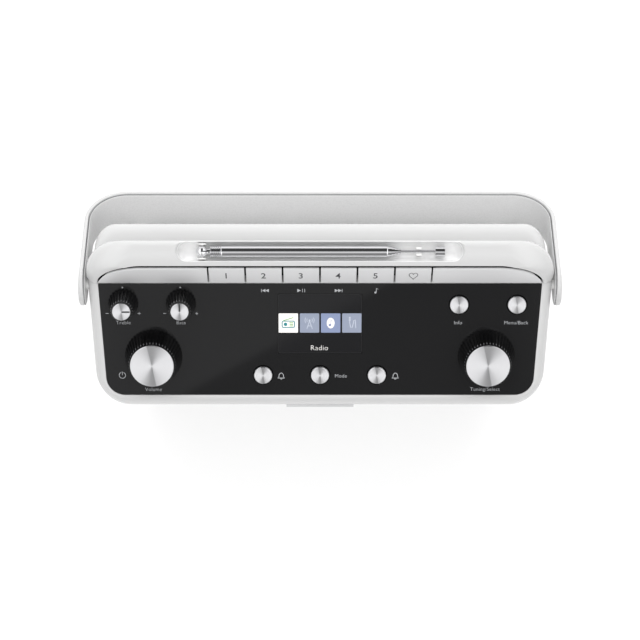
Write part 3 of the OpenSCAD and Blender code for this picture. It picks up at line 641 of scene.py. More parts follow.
def rear_skin():
    """Rear shell: its wall rises to a round shoulder, a quarter ellipse, and goes on up under the
    hood's rear edge. Share is 0 at the wall and 1 under the hood; the wall leans in a little above its
    foot."""
    seam, bulge, roll, foot_r = SPLIT_Y + 0.1, 0.9, 7.0, 6.0

    def outline_at(share):
        rear = REAR_Y + bulge + (HOOD_REAR - REAR_Y - bulge) * share
        r = 12.5 + 5.9 * share
        points = [[HALF_W, seam], [HALF_W, rear], [-HALF_W, rear], [-HALF_W, seam]]
        return rounded_outline(points, [0, r, r, 0], arc=16)
    low = outline_at(0)
    shoulder_z = SEAM_Z - 18

    def ring_at(share, z):
        ring = lean(outline_at(share), z)
        near_rear = np.clip((ring[:, 1] - SPLIT_Y) / 25, 0, 1)
        ring[:, 1] = ring[:, 1] - near_rear * np.clip(shoulder_z - z, 0, None) * 0.026
        return ring
    middle = np.array([0.0, (SPLIT_Y + REAR_Y) / 2])
    rings = bottom_rings(low, middle, foot_r)
    lean_in = ring_at(0, BASE_Z + foot_r)[:, 1] - lean(low, 0)[:, 1]
    for ring in rings:
        ring[:, 1] = np.where(low[:, 1] < SPLIT_Y + 0.2, seam, ring[:, 1] + lean_in)
    for z in np.linspace(BASE_Z + foot_r, shoulder_z - roll, 14)[1:]:
        rings.append(ring_at(0, z))
    for a in np.linspace(0, np.pi / 2, 14)[1:]:
        rings.append(ring_at((1 - np.cos(a)) * 0.9, shoulder_z - roll + 7.4 * np.sin(a)))
    for a in np.linspace(0, np.pi / 2, 5)[1:]:
        rings.append(ring_at(0.9 + 0.1 * np.sin(a), shoulder_z + 0.4 + 1.2 * (1 - np.cos(a))))
    for z in np.linspace(shoulder_z + 1.6, SEAM_Z - SKIRT - 0.2, 5)[1:]:
        rings.append(ring_at(1, z))
    return loft("rear_skin", rings)


def fall(t):
    """Share that a quarter circle has fallen away at t: 0 at t = 0 and 1 at t = 1."""
    return 1 - math.sqrt(max(1 - t ** 2, 0))


def hood_ring(z):
    """Level section of the hood: front edge on the key slope, then a soft ridge, elliptic ends, round
    rear corners."""
    crease, ridge, end_round, rear_round, corner = 14.4, 10.5, 30, 3.5, 18.4
    rise, crown = z - SEAM_Z, HOOD_TOP - SEAM_Z
    slope = KEY_UP[2] / KEY_UP[1]
    front = SEAM_Y + np.clip(rise, 0, crease) / slope
    if rise > crease:
        front += ridge * (1 - math.sqrt(max(1 - (rise - crease) / (crown - crease), 0)))
    half = HALF_W - end_round * fall(max(rise, 0) / crown) - max(-rise, 0) * SIDE_LEAN
    below = np.clip(-rise / SKIRT, 0, 1)
    soft = (6.2 - 3.2 * np.clip(rise / crown, 0, 1)) * (1 - below ** 2) + 0.02
    rear = HOOD_REAR - rear_round * fall(max((rise - crown + rear_round) / rear_round, 0))
    depth = rear - front
    r = min(corner, depth * 0.74)
    deep = min(soft * 1.1, depth - r)
    right = path_points(
        np.linspace([0, front], [half - soft, front], 25)[:-1],
        bend([half - soft, front], [half, front], [half, front + deep], 10),
        np.linspace([half, front + deep], [half, rear - r], 6)[1:-1],
        bend([half, rear - r], [half, rear], [half - r, rear], 16),
        np.linspace([half - r, rear], [0, rear], 20)[1:])
    left = right[::-1][1:-1] * [-1, 1]
    outline = np.concatenate([right, left])
    return np.column_stack([outline, np.full(len(outline), z)])


def hood_skin():
    """Hood: level sections stacked from the seam to the crown, closer together where it curves over."""
    crown = HOOD_TOP - SEAM_Z
    low = np.linspace(-SKIRT, 0, 7)[:-1]
    high = crown * np.sin(np.linspace(0, np.pi / 2, 60))
    return loft("hood_skin", [hood_ring(SEAM_Z + rise) for rise in np.concatenate([low, high])], 28)


def window_cutter():
    """Opening for the keys, cut square to their face: straight foot, elliptic upper corners."""
    outer, wide, tall, foot = WINDOW_W, WINDOW_BOW, WINDOW_TALL, -9.0
    right = path_points([outer, foot], bend([outer, 0], [outer, tall], [outer - wide, tall], 24))
    outline = np.concatenate([right, right[::-1] * [-1, 1]])
    rings = [on_keys(outline[:, 0], outline[:, 1], out) for out in (6.0, -4.6)]
    return loft("window_cutter", rings)


def trough_profile():
    """Half widths and heights of the antenna trough: half round below, flared by an elliptic lip above."""
    a, b = np.linspace(0.2, np.pi / 2, 8), np.linspace(0.25, 1.57, 9)
    half_round = np.column_stack([TROUGH_R * np.sin(a), -TROUGH_R * np.cos(a)])
    lip = np.column_stack([TROUGH_R + LIP_W * (1 - np.cos(b)), 0.4 + LIP_H * np.sin(b)])
    return path_points([0.02, -TROUGH_R], half_round, lip, [TROUGH_R + 4.2, 6.0])


def recess_cutter():
    """Antenna trough: the profile carried round a long line with round ends."""
    a = np.linspace(-np.pi / 2, np.pi / 2, 19)
    rings = []
    for width, height in trough_profile():
        right = np.column_stack([TROUGH_HALF - TROUGH_R + width * np.cos(a), width * np.sin(a)])
        outline = np.concatenate([right, -right])
        rings.append(np.column_stack([outline[:, 0], ANTENNA[1] + outline[:, 1],
                                      np.full(len(outline), ANTENNA[2] + height)]))
    return loft("recess_cutter", rings)


def front_frame(x, up, out):
    """Front-wall coordinates to the shared frame: across, up the wall from its middle, out of the wall."""
    x, up, out = np.broadcast_arrays(x, up, out)
    low, high = corners("speaker_grille")
    mid_z = (low[2] + high[2]) / 2
    z = mid_z + up
    y = FRONT_Y + np.maximum(SEAM_Z - FRONT_STRAIGHT - z, 0) * FRONT_LEAN - out
    return np.stack([x, y, z], -1)


def grille_outline(grow):
    """Outline of the grille: narrower at its foot, with round corners."""
    low, high = corners("speaker_grille")
    half_w, half_h = 103 + grow, (high[2] - low[2]) / 2 + grow
    foot_w = half_w - 8
    points = [[half_w, half_h], [foot_w, -half_h], [-foot_w, -half_h], [-half_w, half_h]]
    return rounded_outline(points, [16] * 4)


def grille_cutter():
    """Recess for the grille in the front wall."""
    outline = grille_outline(0.3)
    return loft("grille_cutter", [front_frame(outline[:, 0], outline[:, 1], out) for out in (8.0, -2.4)])


# ---------------------------------------------------------------- round pieces


def centre_of(control):
    """Middle of a knob or button on the panel's surface."""
    if control in BUTTONS:
        low, high = corners(control + "_button")
        return on_panel((low[0] + high[0]) / 2, BUTTONS[control], 0.0)
    return joint_place(control + "_turn")[0]


def frame_of(control):
    """Place function of a knob or button: across, up the slope and out of the panel, from its middle."""
    centre = centre_of(control)

    def place(u, v, h):
        u, v, h = np.broadcast_arrays(u, v, h)
        return centre + u[..., None] * X_AXIS + v[..., None] * PANEL_UP + h[..., None] * PANEL_OUT
    return place


def spin_map(mesh, centre, across, up):
    """Gives a turned piece its own map: first coordinate once round the centre, second the radius in
    centimetres."""
    co = np.zeros(len(mesh.vertices) * 3)
    mesh.vertices.foreach_get("co", co)
    away = co.reshape(-1, 3) / MM - centre
    u, v = away @ across, away @ up
    loops = np.zeros(len(mesh.loops), int)
    mesh.loops.foreach_get("vertex_index", loops)
    counts = np.zeros(len(mesh.polygons), int)
    mesh.polygons.foreach_get("loop_total", counts)
    owner = np.repeat(np.arange(len(counts)), counts)
    mid_u = np.bincount(owner, u[loops]) / counts
    mid_v = np.bincount(owner, v[loops]) / counts
    middle = np.arctan2(mid_v, mid_u)[owner] / (2 * np.pi)
    turn = np.arctan2(v, u)[loops] / (2 * np.pi)
    turn += np.round(middle - turn)
    layer = mesh.uv_layers.new(name="spin")
    layer.data.foreach_set("uv", np.stack([turn, np.hypot(u, v)[loops] / 10], 1).ravel())


def knob_skirt(name, control, base_r, top_r, height, flutes, depth):
    """Fluted cone: the radius falls from base to top along a slightly hollow line, and each flute is a
    rounded dip. The radius is reduced by depth times a cosine of flutes times the angle, fading at base
    and top."""
    low, high = 1.0, height - 0.7
    foot_r, foot = base_r - 0.1, low + 0.6
    wall = [(foot_r - (foot_r - top_r) * t ** 0.85, foot + (high - low - 0.6) * t)
            for t in np.linspace(0, 1, 9)]
    profile = [(0.5, low), (base_r - 0.6, low), (base_r, low + 0.3), *wall, (top_r - 0.2, high + 0.22),
               (top_r - 0.5, high + 0.3), (0.5, high + 0.3)]

    def wave(r, h, a):
        ridge = np.clip((0.5 - 0.5 * np.cos(flutes * a)) * 1.6 - 0.3, 0, 1)
        return r - np.clip((r - 5) / 2, 0, 1) * depth * ridge * np.where(r > top_r - 0.4, 1, 0.6)
    return lathe(name, profile, frame_of(control), flutes * 8, wave, 50)


def disc_profile(r, low, high, bevel, dish):
    """Half section of a spun cap: slightly dished face, thin chamfer, straight side."""
    face = [(r * t * 0.985 if t > 0 else 0.02, high - dish * (1 - t * t)) for t in np.linspace(0, 1, 7)]
    face[-1] = (r - bevel, high)
    return face + [(r - bevel * 0.5, high - bevel * 0.35), (r, high - bevel), (r, low), (0.02, low)]


def rib_end_highlights(name, control, r_low, r_high, low, high, flutes):
    """Polished ends of a skirt's ribs: one slim bar on each crest, from low to high, wide by twice
    half_w."""
    place, points, faces, half_w = frame_of(control), [], [], 0.16
    for k in range(flutes):
        for r, h in ((r_low, low), (r_high, high)):
            for turn, out in ((-1, -0.4), (1, -0.4), (1, 0.07), (-1, 0.07)):
                a = 2 * np.pi * k / flutes + turn * half_w / r
                points.append(place((r + out) * math.cos(a), (r + out) * math.sin(a), h))
        first = 8 * k
        faces += [[first, first + 1, first + 2, first + 3], [first + 7, first + 6, first + 5, first + 4]]
        faces += [[first + (i + 1) % 4, first + i, first + i + 4, first + (i + 1) % 4 + 4] for i in range(4)]
    return make_mesh(name, np.array(points), faces)


def spun_cap(name, control, r, low, high, bevel=0.45, dish=0.12):
    """Round cap turned from its half section, with its own map for the turning marks."""
    mesh = lathe(name, disc_profile(r, low, high, bevel, dish), frame_of(control), 96, None, 30)
    spin_map(mesh, centre_of(control), X_AXIS, PANEL_UP)
    return mesh


def pointer(name):
    """Line printed on a tone knob's cap, from its middle to its edge."""
    turn, place = POINTER_TURN[name], frame_of(name)

    def along(u, v, h):
        return place(u * np.cos(turn) - v * np.sin(turn), u * np.sin(turn) + v * np.cos(turn), h)
    line = stroke([[0.2, 0.0], [2.4, 0.0], [4.9, 0.0]], 0.95)
    return stamp(name + "_pointer", [line], along, 14.9, 0.13)


def knobs():
    """The four knobs: fluted skirts, spun caps, polished rib ends and the tone knobs' pointer lines."""
    many = bpy.context.scene.radio_sizes.flutes
    few = many // 2 + 1
    for name, shape, flutes in (("volume", BIG_KNOB, many), ("tuning", BIG_KNOB, many),
                                ("treble", TONE_KNOB, few), ("bass", TONE_KNOB, few)):
        skirt, cap, rib, groove = shape
        mesh = knob_skirt(name + "_skirt", name, *skirt, flutes, groove)
        show(name + "_skirt", mesh, "knob", name + "_knob")
        show(name + "_face", spun_cap(name + "_face", name, *cap), "cap", name + "_cap")
        # Painted highlight: a light grey bar on each rib crest.
        mesh = rib_end_highlights(name + "_rib_end_highlights", name, *rib, flutes)
        show(name + "_rib_end_highlights", mesh, "rib", name + "_knob", False)
        if name in POINTER_TURN:
            show(name + "_pointer", pointer(name), "pointer", name + "_cap", False)


def buttons():
    """The five round buttons: spun discs with a thin chamfer, each standing in a black cup that lines
    its bore."""
    cup = [(0.5, -2.6), (6.15, -2.6), (6.15, 0.05), (5.42, 0.05), (5.42, -2.2), (0.5, -2.2)]
    for name in BUTTONS:
        mesh = spun_cap(name + "_face", name, 5.3, -0.6, 1.6, 0.35, 0.1)
        show(name + "_face", mesh, "cap", name + "_button")
        # Painted shade: a near-black cup in the bore shows as the dark ring round the button.
        mesh = lathe(name + "_painted_shade_well", cup, frame_of(name), 64)
        show(name + "_painted_shade_well", mesh, "painted_shade", "control_panel", False)


# ---------------------------------------------------------------- printed marks


def stroke(points, width, closed=False):
    """Outline of a line drawn along points: left and right sides, half the width away along the local
    normal."""
    points = np.asarray(points, float)
    ahead = np.roll(points, -1, 0) if closed else np.vstack([points[1:], 2 * points[-1] - points[-2]])
    behind = np.roll(points, 1, 0) if closed else np.vstack([2 * points[0] - points[1], points[:-1]])
    way = (ahead - behind) / np.linalg.norm(ahead - behind, axis=1)[:, None]
    normal = np.stack([-way[:, 1], way[:, 0]], 1) * width / 2
    return points + normal, points - normal, closed


def arc(x, y, r, start, end, count=24):
    """Points along an arc, angles in degrees."""
    a = np.radians(np.linspace(start, end, count))
    return np.column_stack([x + r * np.cos(a), y + r * np.sin(a)])


def stamp(name, marks, place, low, thick=0.04):
    """Thin closed solids of the marks: each is an outline to fill, or a stroke's two sides."""
    points, faces = [], []
    for mark in marks:
        start = sum(len(p) for p in points)
        if isinstance(mark, tuple):
            left, right, closed = mark
            n = len(left)
            high = low + thick
            ring = np.stack([place(*left.T, low), place(*left.T, high), place(*right.T, high),
                             place(*right.T, low)], 1)
            points.append(ring.reshape(-1, 3))
            quads = np.array(grid_faces(n, 4)) + start
            faces += quads.tolist()
            last = start + (n - 1) * 4
            if closed:
                faces += [[last + k, last + (k + 1) % 4, start + (k + 1) % 4, start + k] for k in range(4)]
            else:
                faces += [[start + k for k in (3, 2, 1, 0)], [last + k for k in range(4)]]
            continue
        outline = np.asarray(mark, float)
        n = len(outline)
        points.append(np.concatenate([place(outline[:, 0], outline[:, 1], h) for h in (low, low + thick)]))
        faces += (np.array(grid_faces(2, n)) + start).tolist()
        faces += [[start + k for k in range(n)][::-1], [start + n + k for k in range(n)]]
    return make_mesh(name, np.concatenate(points), faces)


def word(name, text, height, place, x, y, low, thin=0.014, narrow=1.0, spread=1.05):
    """Thin solid letters: the built-in font's outlines, filled, moved onto the surface by place."""
    curve = bpy.data.curves.new(name, "FONT")
    curve.body, curve.size, curve.align_x, curve.align_y = text, height / 0.7, "CENTER", "CENTER"
    curve.extrude, curve.resolution_u, curve.offset = 0.5, 4, -thin * height
    curve.space_character = spread
    holder = bpy.data.objects.new(name, curve)
    bpy.context.scene.collection.objects.link(holder)
    mesh = as_mesh(holder)
    bpy.data.objects.remove(holder)
    bpy.data.curves.remove(curve)
    co = np.zeros(len(mesh.vertices) * 3)
    mesh.vertices.foreach_get("co", co)
    co = co.reshape(-1, 3)
    co = place(co[:, 0] * narrow + x, co[:, 1] + y, low + np.where(co[:, 2] > 0, 0.03, 0.0))
    mesh.vertices.foreach_set("co", (co * MM).ravel())
    bm = bmesh.new()
    bm.from_mesh(mesh)
    bmesh.ops.remove_doubles(bm, verts=bm.verts, dist=1e-7)
    bmesh.ops.recalc_face_normals(bm, faces=bm.faces)
    bm.to_mesh(mesh)
    bm.free()
    return finish_mesh(mesh)


def bell(x, y, size):
    """Alarm mark: bell outline with a clapper."""
    shape = np.array([[-0.5, -0.32], [-0.34, -0.18], [-0.3, 0.16], [-0.16, 0.38], [0, 0.44], [0.16, 0.38],
                      [0.3, 0.16], [0.34, -0.18], [0.5, -0.32]]) * size + [x, y]
    clapper = arc(x, y - 0.36 * size, 0.13 * size, 200, 340, 8)
    return [stroke(shape, 0.09 * size, True), stroke(clapper, 0.09 * size)]


def triangle(x, y, size, way):
    """Filled triangle pointing left or right."""
    half = size / 2
    return np.array([[x - way * half, y - half], [x + way * half, y], [x - way * half, y + half]])


def bar(x, y, w, h):
    """Filled upright bar."""
    return np.array([[-w, -h], [w, -h], [w, h], [-w, h]]) / 2 + [x, y]


def labels():
    """Names, signs and icons printed on the panel."""
    sizes = bpy.context.scene.radio_sizes
    size = sizes.label_height / MM
    texts = [("Treble", -115.1, 0.59), ("Bass", -81.4, 0.59), ("Volume", -98.5, -41.4),
             ("Info", 80.8, 0.59), ("Menu/Back", 114.8, 0.59), ("Tuning/Select", 97.6, -41.3),
             ("Mode", 12.3, -32.9)]
    for text, x, y in texts:
        name = "label_" + text.lower().replace("/", "_")
        show(name, word(name, text, size, on_panel, x, y, 0.0), "ink", "control_panel", False)
    marks = []
    for x in (-115.1, -81.4):
        marks.append(arc(x, 22.5, 0.42, 0, 345, 16))
        marks.append(bar(x - 9.4, 6.4, 1.7, 0.26))
        marks += [bar(x + 9.3, 6.4, 1.7, 0.26), bar(x + 9.3, 6.4, 0.26, 1.7)]
    marks += [stroke(arc(-116.7, -32.4, 1.9, 112, 428), 0.3), bar(-116.7, -31.2, 0.3, 2.1)]
    for x in (-22.9, 44.5):
        marks += bell(x, -32.8, 4.2)
    y = 20.6
    marks += [triangle(-32.8, y, 2.0, -1), triangle(-30.8, y, 2.0, -1), bar(-34.1, y, 0.3, 2.0)]
    marks += [triangle(-12.2, y, 2.1, 1), bar(-10.2, y, 0.32, 2.1), bar(-8.9, y, 0.32, 2.1)]
    marks += [triangle(9.6, y, 2.0, 1), triangle(11.6, y, 2.0, 1), bar(12.9, y, 0.3, 2.0)]
    marks += [arc(32.3, y - 1.2, 0.6, 0, 345, 14),
              stroke([[32.8, y - 1.2], [32.8, y + 1.5], [33.8, y + 0.8]], 0.32)]
    show("panel_icons", stamp("panel_icons", marks, on_panel, 0.0, 0.03), "ink", "control_panel", False)


def box_outline(x, y, half_w, half_h, r):
    """Outline of an upright box with round corners."""
    return rounded_outline([[x + half_w, y + half_h], [x + half_w, y - half_h],
                            [x - half_w, y - half_h], [x - half_w, y + half_h]], [r] * 4)


def screen():
    """Glass window with a dark border line, four lit tiles with their signs, and the source's name."""
    outline = box_outline(0.0, 0.0, SCREEN_W / 2, SCREEN_H / 2, 0.6)
    rings = [on_panel(outline[:, 0] * k, outline[:, 1] * k, h)
             for k, h in ((0.5, -WINDOW_T), (1.0, -WINDOW_T), (1.0, 0.0), (0.98, 0.0))]
    show("screen_glass", loft("screen_glass", rings), "screen", "display_window")
    line = stroke(outline * 0.995, 0.22, True)
    mesh = stamp("screen_border", [line], on_panel, 0.0, 0.02)
    show("screen_border", mesh, "frame_line", "display_window", False)

    def lit(name, marks, colour, low=0.02):
        show(name, stamp(name, marks, on_panel, low, 0.02), colour, "display_module", False)
    y = 0.45
    tiles = ((-18.55, "lit_white"), (-6.1, "lit_grey"), (6.25, "lit_blue"), (18.65, "lit_grey"))
    for i, (x, colour) in enumerate(tiles):
        lit(f"screen_tile_{i + 1}", [box_outline(x, y, 5.675, 6.0, 0.5)], colour, 0.0)
    teal = [stroke(box_outline(-18.55, y - 0.8, 3.65, 2.0, 0.9), 0.55, True),
            arc(-20.2, y - 0.8, 1.05, 0, 345, 20)]
    green = [stroke([[-21.4, y + 1.5], [-15.6, y + 3.4]], 0.4), bar(-16.8, y - 0.8, 2.2, 0.45),
             bar(-16.8, y + 0.2, 2.2, 0.45), bar(-16.8, y - 1.8, 2.2, 0.45)]
    lit("tile_1_waves", teal, "lit_teal")
    lit("tile_1_bar", green, "lit_green")
    mast = [stroke([[-6.1, y + 1.4], [-7.7, y - 3.6]], 0.4), stroke([[-6.1, y + 1.4], [-4.5, y - 3.6]], 0.4),
            stroke([[-7.2, y - 1.8], [-5.0, y - 1.8]], 0.4), arc(-6.1, y + 1.7, 0.55, 0, 345, 12)]
    mast += [stroke(arc(-6.1, y + 1.7, r, a - 38, a + 38, 8), 0.35) for r in (1.6, 2.7) for a in (0, 180)]
    lead = [stroke([[17.4, y + 3.2], [17.4, y + 0.2], [17.9, y - 2.6], [18.9, y - 2.8], [19.4, y - 0.6],
                    [19.8, y + 1.6], [20.6, y + 2.2], [21.0, y - 3.2]], 0.45), bar(17.4, y + 2.6, 1.0, 2.4)]
    lit("tile_2_mast", mast, "lit_pale")
    lit("tile_4_lead", lead, "lit_pale")
    oval = arc(0, 0, 1, 0, 355, 40) * [2.3, 3.3] + [6.25, y]
    note = [arc(5.75, y - 1.3, 0.75, 0, 345, 14),
            stroke([[6.4, y - 1.3], [6.4, y + 1.9], [7.4, y + 1.1]], 0.35)]
    lit("tile_3_oval", [oval], "lit_white")
    lit("tile_3_note", note, "lit_blue", 0.04)
    mesh = word("screen_word", "Radio", 3.1, on_panel, -0.4, -15.2, 0.0, 0.022)
    show("screen_word", mesh, "lit_white", "display_module", False)


# ---------------------------------------------------------------- keys


def key_profile(tall, ease):
    """Side view of a key, as up and out: chamfered foot, flat face, and a top edge rounded as a quarter
    ellipse. Ease pulls the outline in, for the key's soft ends."""
    roll = min(1.1, tall * 0.4)
    top, face = tall - ease, -ease
    return path_points([0.5 + ease, -KEY_DEEP], [0.5 + ease, -0.5 - ease], [0.75 + ease, -0.12 - ease],
                       [1.2 + ease, face], bend([tall - roll, face], [top, face], [top, -roll], 8),
                       [top, -KEY_DEEP])


def end_ease(edge):
    """How far a key's outline is pulled in at a distance from its end: a quarter circle over the last
    0.7 mm."""
    return KEY_SOFT * (1 - math.sqrt(max(1 - (1 - min(edge / 0.7, 1)) ** 2, 0)))


def key_body(name, x0, x1):
    """Sweeps the key's side view from x0 to x1, with soft ends."""
    width = x1 - x0
    ends = [0.0, 0.12, 0.35, 0.7]
    inner = np.linspace(1.2, width - 1.2, 28)
    xs = np.array([*ends, *inner, *[width - e for e in ends[::-1]]])
    rings = []
    for x in xs:
        profile = key_profile(KEY_TALL, end_ease(min(x, width - x)))
        rings.append(on_keys(x0 + x, profile[:, 0], profile[:, 1]))
    return loft(name, rings, 25)


def heart(x, y, size, tall):
    """Heart outline from the curve x = sin^3, y = 13 cos - 5 cos 2t - 2 cos 3t - cos 4t, stretched up
    the key."""
    t = np.linspace(0, 2 * np.pi, 40, endpoint=False)
    hx = 16 * np.sin(t) ** 3
    hy = 13 * np.cos(t) - 5 * np.cos(2 * t) - 2 * np.cos(3 * t) - np.cos(4 * t)
    return stroke(np.column_stack([hx, hy * tall]) * size / 32 + [x, y], 0.42, True)


def keys():
    """Six preset keys with their marks, and the two blank end plates with elliptic outer corners."""
    sizes = bpy.context.scene.radio_sizes
    nodes = ["key_1", "key_2", "key_3", "key_4", "key_5", "key_favourite"]
    for i, node in enumerate(nodes):
        low, high = corners(node)
        key = show(node + "_cap", key_body(node + "_cap", low[0], high[0]), "key", node)
        # Painted shade: the key's sides and back are painted near-black.
        repaint(key.data, key_sides_painted_shade)
        x = (low[0] + high[0]) / 2
        if i < 5:
            mesh = word(node + "_numeral", str(i + 1), sizes.numeral_height / MM, on_keys, x - 0.3, 8.0, 0.0,
                        thin=-0.01, narrow=0.78)
        else:
            mesh = stamp(node + "_heart", [heart(x, 8.4, 5.0, 1.5)], on_keys, 0.0, 0.03)
        show(mesh.name, mesh, "key_ink", node, False)
    outer = corners("key_end_right")[1][0]
    ellipse_w = 25.8

    def tall_at(x):
        t = np.clip((abs(x) - outer + ellipse_w) / ellipse_w, 0, 1)
        return KEY_TALL * math.sqrt(1 - t * t)
    for side, node in ((-1, "key_end_left"), (1, "key_end_right")):
        low, high = corners(node)
        x0, x1 = low[0], high[0]
        plate = show(node + "_plate", end_plate(node + "_plate", x0, x1, side, tall_at), "key", node)
        # Painted shade: the plate's sides and back are painted near-black.
        repaint(plate.data, key_sides_painted_shade)


def end_plate(name, x0, x1, side, tall_at):
    """Blank plate: the key's side view swept with stations closer together towards its pointed end."""
    t = np.linspace(0, 1, 60)
    far = 1 - (1 - t) ** 2.2
    xs = x0 + (x1 - x0) * (far if side > 0 else 1 - far[::-1])
    rings = []
    for x in xs:
        edge = (x - x0) if side > 0 else (x1 - x)
        tall = max(tall_at(x), 1.7)
        profile = key_profile(tall, end_ease(edge) if tall > 3 else 0)
        rings.append(on_keys(x, profile[:, 0], profile[:, 1]))
    return loft(name, rings, 25)


# ---------------------------------------------------------------- handle


def handle_place(x, reach, across):
    """Handle coordinates to the shared frame: across the radio, from the pivot to the band, across the
    band."""
    x, reach, across = np.broadcast_arrays(x, reach, across)
    y = PIVOT[1] + reach * math.cos(HANDLE_FOLD) + across * math.sin(HANDLE_FOLD)
    z = PIVOT[2] - reach * math.sin(HANDLE_FOLD) + across * math.cos(HANDLE_FOLD)
    return np.stack([x, y, z], -1)


def strap(name, half_w, reach, corner, thick, width, tail, soft):
    """Band bent into a U: a rounded rectangle swept along the U's outer line; the band's width follows
    a circle at its round ends."""
    ends = -tail * np.cos(np.linspace(0, np.pi / 2, 10))
    arm = np.concatenate([ends, np.linspace(0, reach - corner, 12)[1:]])
    a = np.linspace(0, np.pi / 2, 17)[1:]
    right = np.concatenate([
        np.column_stack([np.full(len(arm), half_w), arm, np.ones(len(arm)), np.zeros(len(arm))]),
        np.column_stack([half_w - corner + corner * np.cos(a), reach - corner + corner * np.sin(a),
                         np.cos(a), np.sin(a)]),
        np.column_stack([np.linspace(half_w - corner, 0, 14)[1:], np.full(13, reach),
                         np.zeros(13), np.ones(13)])])
    left = right[::-1][1:] * [-1, 1, -1, 1]
    path = np.concatenate([right, left])
    t = np.linspace(0, 2 * np.pi, 48, endpoint=False)
    power = 2 / 5
    u = np.sign(np.cos(t)) * np.abs(np.cos(t)) ** power
    v = np.sign(np.sin(t)) * np.abs(np.sin(t)) ** power
    depth = 0.5 * thick * (1 + u)
    rings = []
    for x, y, nx, ny in path:
        half = width / 2
        if y < 0:
            half *= math.sqrt(max(1 - (y / tail) ** 2, 0.004))
        side = np.clip(half - soft, 0.1, None) * v + soft * np.sign(v) * np.abs(v) ** 0.5
        rings.append(handle_place(x - nx * depth, y - ny * depth, side))
    return loft(name, rings, 40)


def handle():
    """Carrying handle: white band outside, grey lining inside, and the painted edge of the seam between
    them."""
    half_w, reach, corner, band_t = 140.5, 68.1, 25.0, 3.0
    inner = (half_w - band_t, reach - band_t, corner - band_t)
    band = strap("handle_strap", half_w, reach, corner, band_t, 25.0, 12.5, 0.6)
    show("handle_strap", band, "band", "handle_band")
    # Painted shade: a thin grey strip shows as the dark line between band and lining.
    seam = strap("handle_gap_shade", *inner, 0.45, 24.4, 12.2, 0.1)
    show("handle_gap_shade", seam, "seam", "handle_lining", False)
    lining = strap("handle_inside", *inner, 0.75, 23.4, 11.7, 0.2)
    show("handle_inside", lining, "lining", "handle_lining")


# ---------------------------------------------------------------- antenna


def antenna():
    """Outermost antenna tube: ball end with a slot, ribbed collar, then the straight tube; its radius
    along the axis follows a circle, a neck, five rings and a straight line."""
    low, high = corners("antenna_tube_1")
    tube_r, groove_r, neck_r = 3.5, 3.0, 1.9
    ball_x, end_x = low[0] + tube_r, high[0]

    def place(u, v, h):
        u, v, h = np.broadcast_arrays(u, v, h)
        return np.stack([h, ANTENNA[1] + u, ANTENNA[2] + v], -1)
    a = np.linspace(0.03, np.pi - 0.62, 16)
    profile = [(tube_r * math.sin(t), ball_x - tube_r * math.cos(t)) for t in a]
    profile += [(neck_r, -64.2), (neck_r, -63.4), (groove_r, -63.3)]
    for i in range(5):
        start = -63.2 + i * 1.25
        profile += [(groove_r, start), (tube_r, start + 0.2), (tube_r, start + 0.85), (groove_r, start + 1.05)]
    profile += [(groove_r, -56.9), (3.45, -56.8), (tube_r, -56.6), (tube_r, -56.2)]
    profile += [(tube_r, end_x - 0.7), (tube_r, end_x - 0.3), (3.3, end_x), (2.9, end_x)]
    mesh = lathe("antenna_outer_tube", profile, place, 64)
    piece = show("antenna_outer_tube", mesh, "chrome", "antenna_tube_1")
    slot = rounded_outline([[-63.6, 0.35], [-63.6, -0.35], [-68.6, -0.35], [-68.6, 0.35]],
                           [0.05, 0.05, 0.3, 0.3])
    cutter = loft("slot", [place(slot[:, 1], h, slot[:, 0]) for h in (0.8, 5.0)])
    finish_mesh(cut(piece, [cutter]))


# ---------------------------------------------------------------- shells in place


def shells():
    """Front shell with the grille's recess and bores for two shafts, rear shell with its round holes,
    and hood with the keys' opening and the antenna's trough."""
    front = show("front_shell", cabinet_skin(), "shell", "cabinet")
    bores = [lathe("bore", [(4.6, -14.0), (4.6, -3.0)], frame_of(name), 48) for name in ("volume", "tuning")]
    finish_mesh(cut(front, [grille_cutter(), *bores]), 30)
    back = show("back_shell", rear_skin(), "shell", "rear_shell")
    holes = []
    for x, z, r in REAR_HOLES:
        def place(u, v, h, x=x, z=z):
            u, v, h = np.broadcast_arrays(u, v, h)
            return np.stack([x + u, h, z + v], -1)
        holes.append(lathe("hole", [(r, REAR_Y - 16), (r, REAR_Y + 8)], place, 64))
    finish_mesh(cut(back, holes), 30)
    hood = show("hood_shell", hood_skin(), "shell", "top_cover")
    finish_mesh(cut(hood, [window_cutter(), recess_cutter()]), 30)
    hood.data.materials.clear()
    hood.data.materials.append(paint("shell"))
    hood.data.polygons.foreach_set("material_index", np.zeros(len(hood.data.polygons), np.int32))
    # Painted shade: the key window's walls in the white hood are painted near-black.
    repaint(hood.data, key_window_painted_shade)
    # Painted light: the trough's faces take a brighter white than the rest of the hood.
    repaint(hood.data, trough_painted_light, "trough")


PLAIN = {
    "paint_shell": ("shell", ["bass_port"]),
    "paint_panel": ("panel", ["control_panel"]),
    "paint_grille": ("sheet", ["speaker_grille"]),
    "paint_badge": ("key", ["front_badge"]),
    "paint_rubber": ("rubber", ["feet"]),
    "paint_caps": ("clip", ["handle_pins", "handle_bumpers", "antenna_clip", "antenna_base"]),
    "paint_chrome": ("chrome", ["antenna_tube_2", "antenna_tube_3", "antenna_tube_4",
                                "antenna_tube_5", "antenna_rod"]),
    "paint_black": ("black", ["power_inlet", "audio_jacks", "tact_switches", "display_module",
                              "volume_plunger", "tuning_plunger"]),
    "paint_board": ("board", ["control_board", "key_board", "main_board"]),
    "paint_zinc": ("zinc", ["encoders", "tone_pots", "volume_shaft", "tuning_shaft", "treble_shaft",
                            "bass_shaft"]),
    "paint_screws": ("screw", ["screws"]),
    "paint_cones": ("cone", ["speaker_cones"]),
    "paint_baskets": ("basket", ["speaker_baskets"]),
}


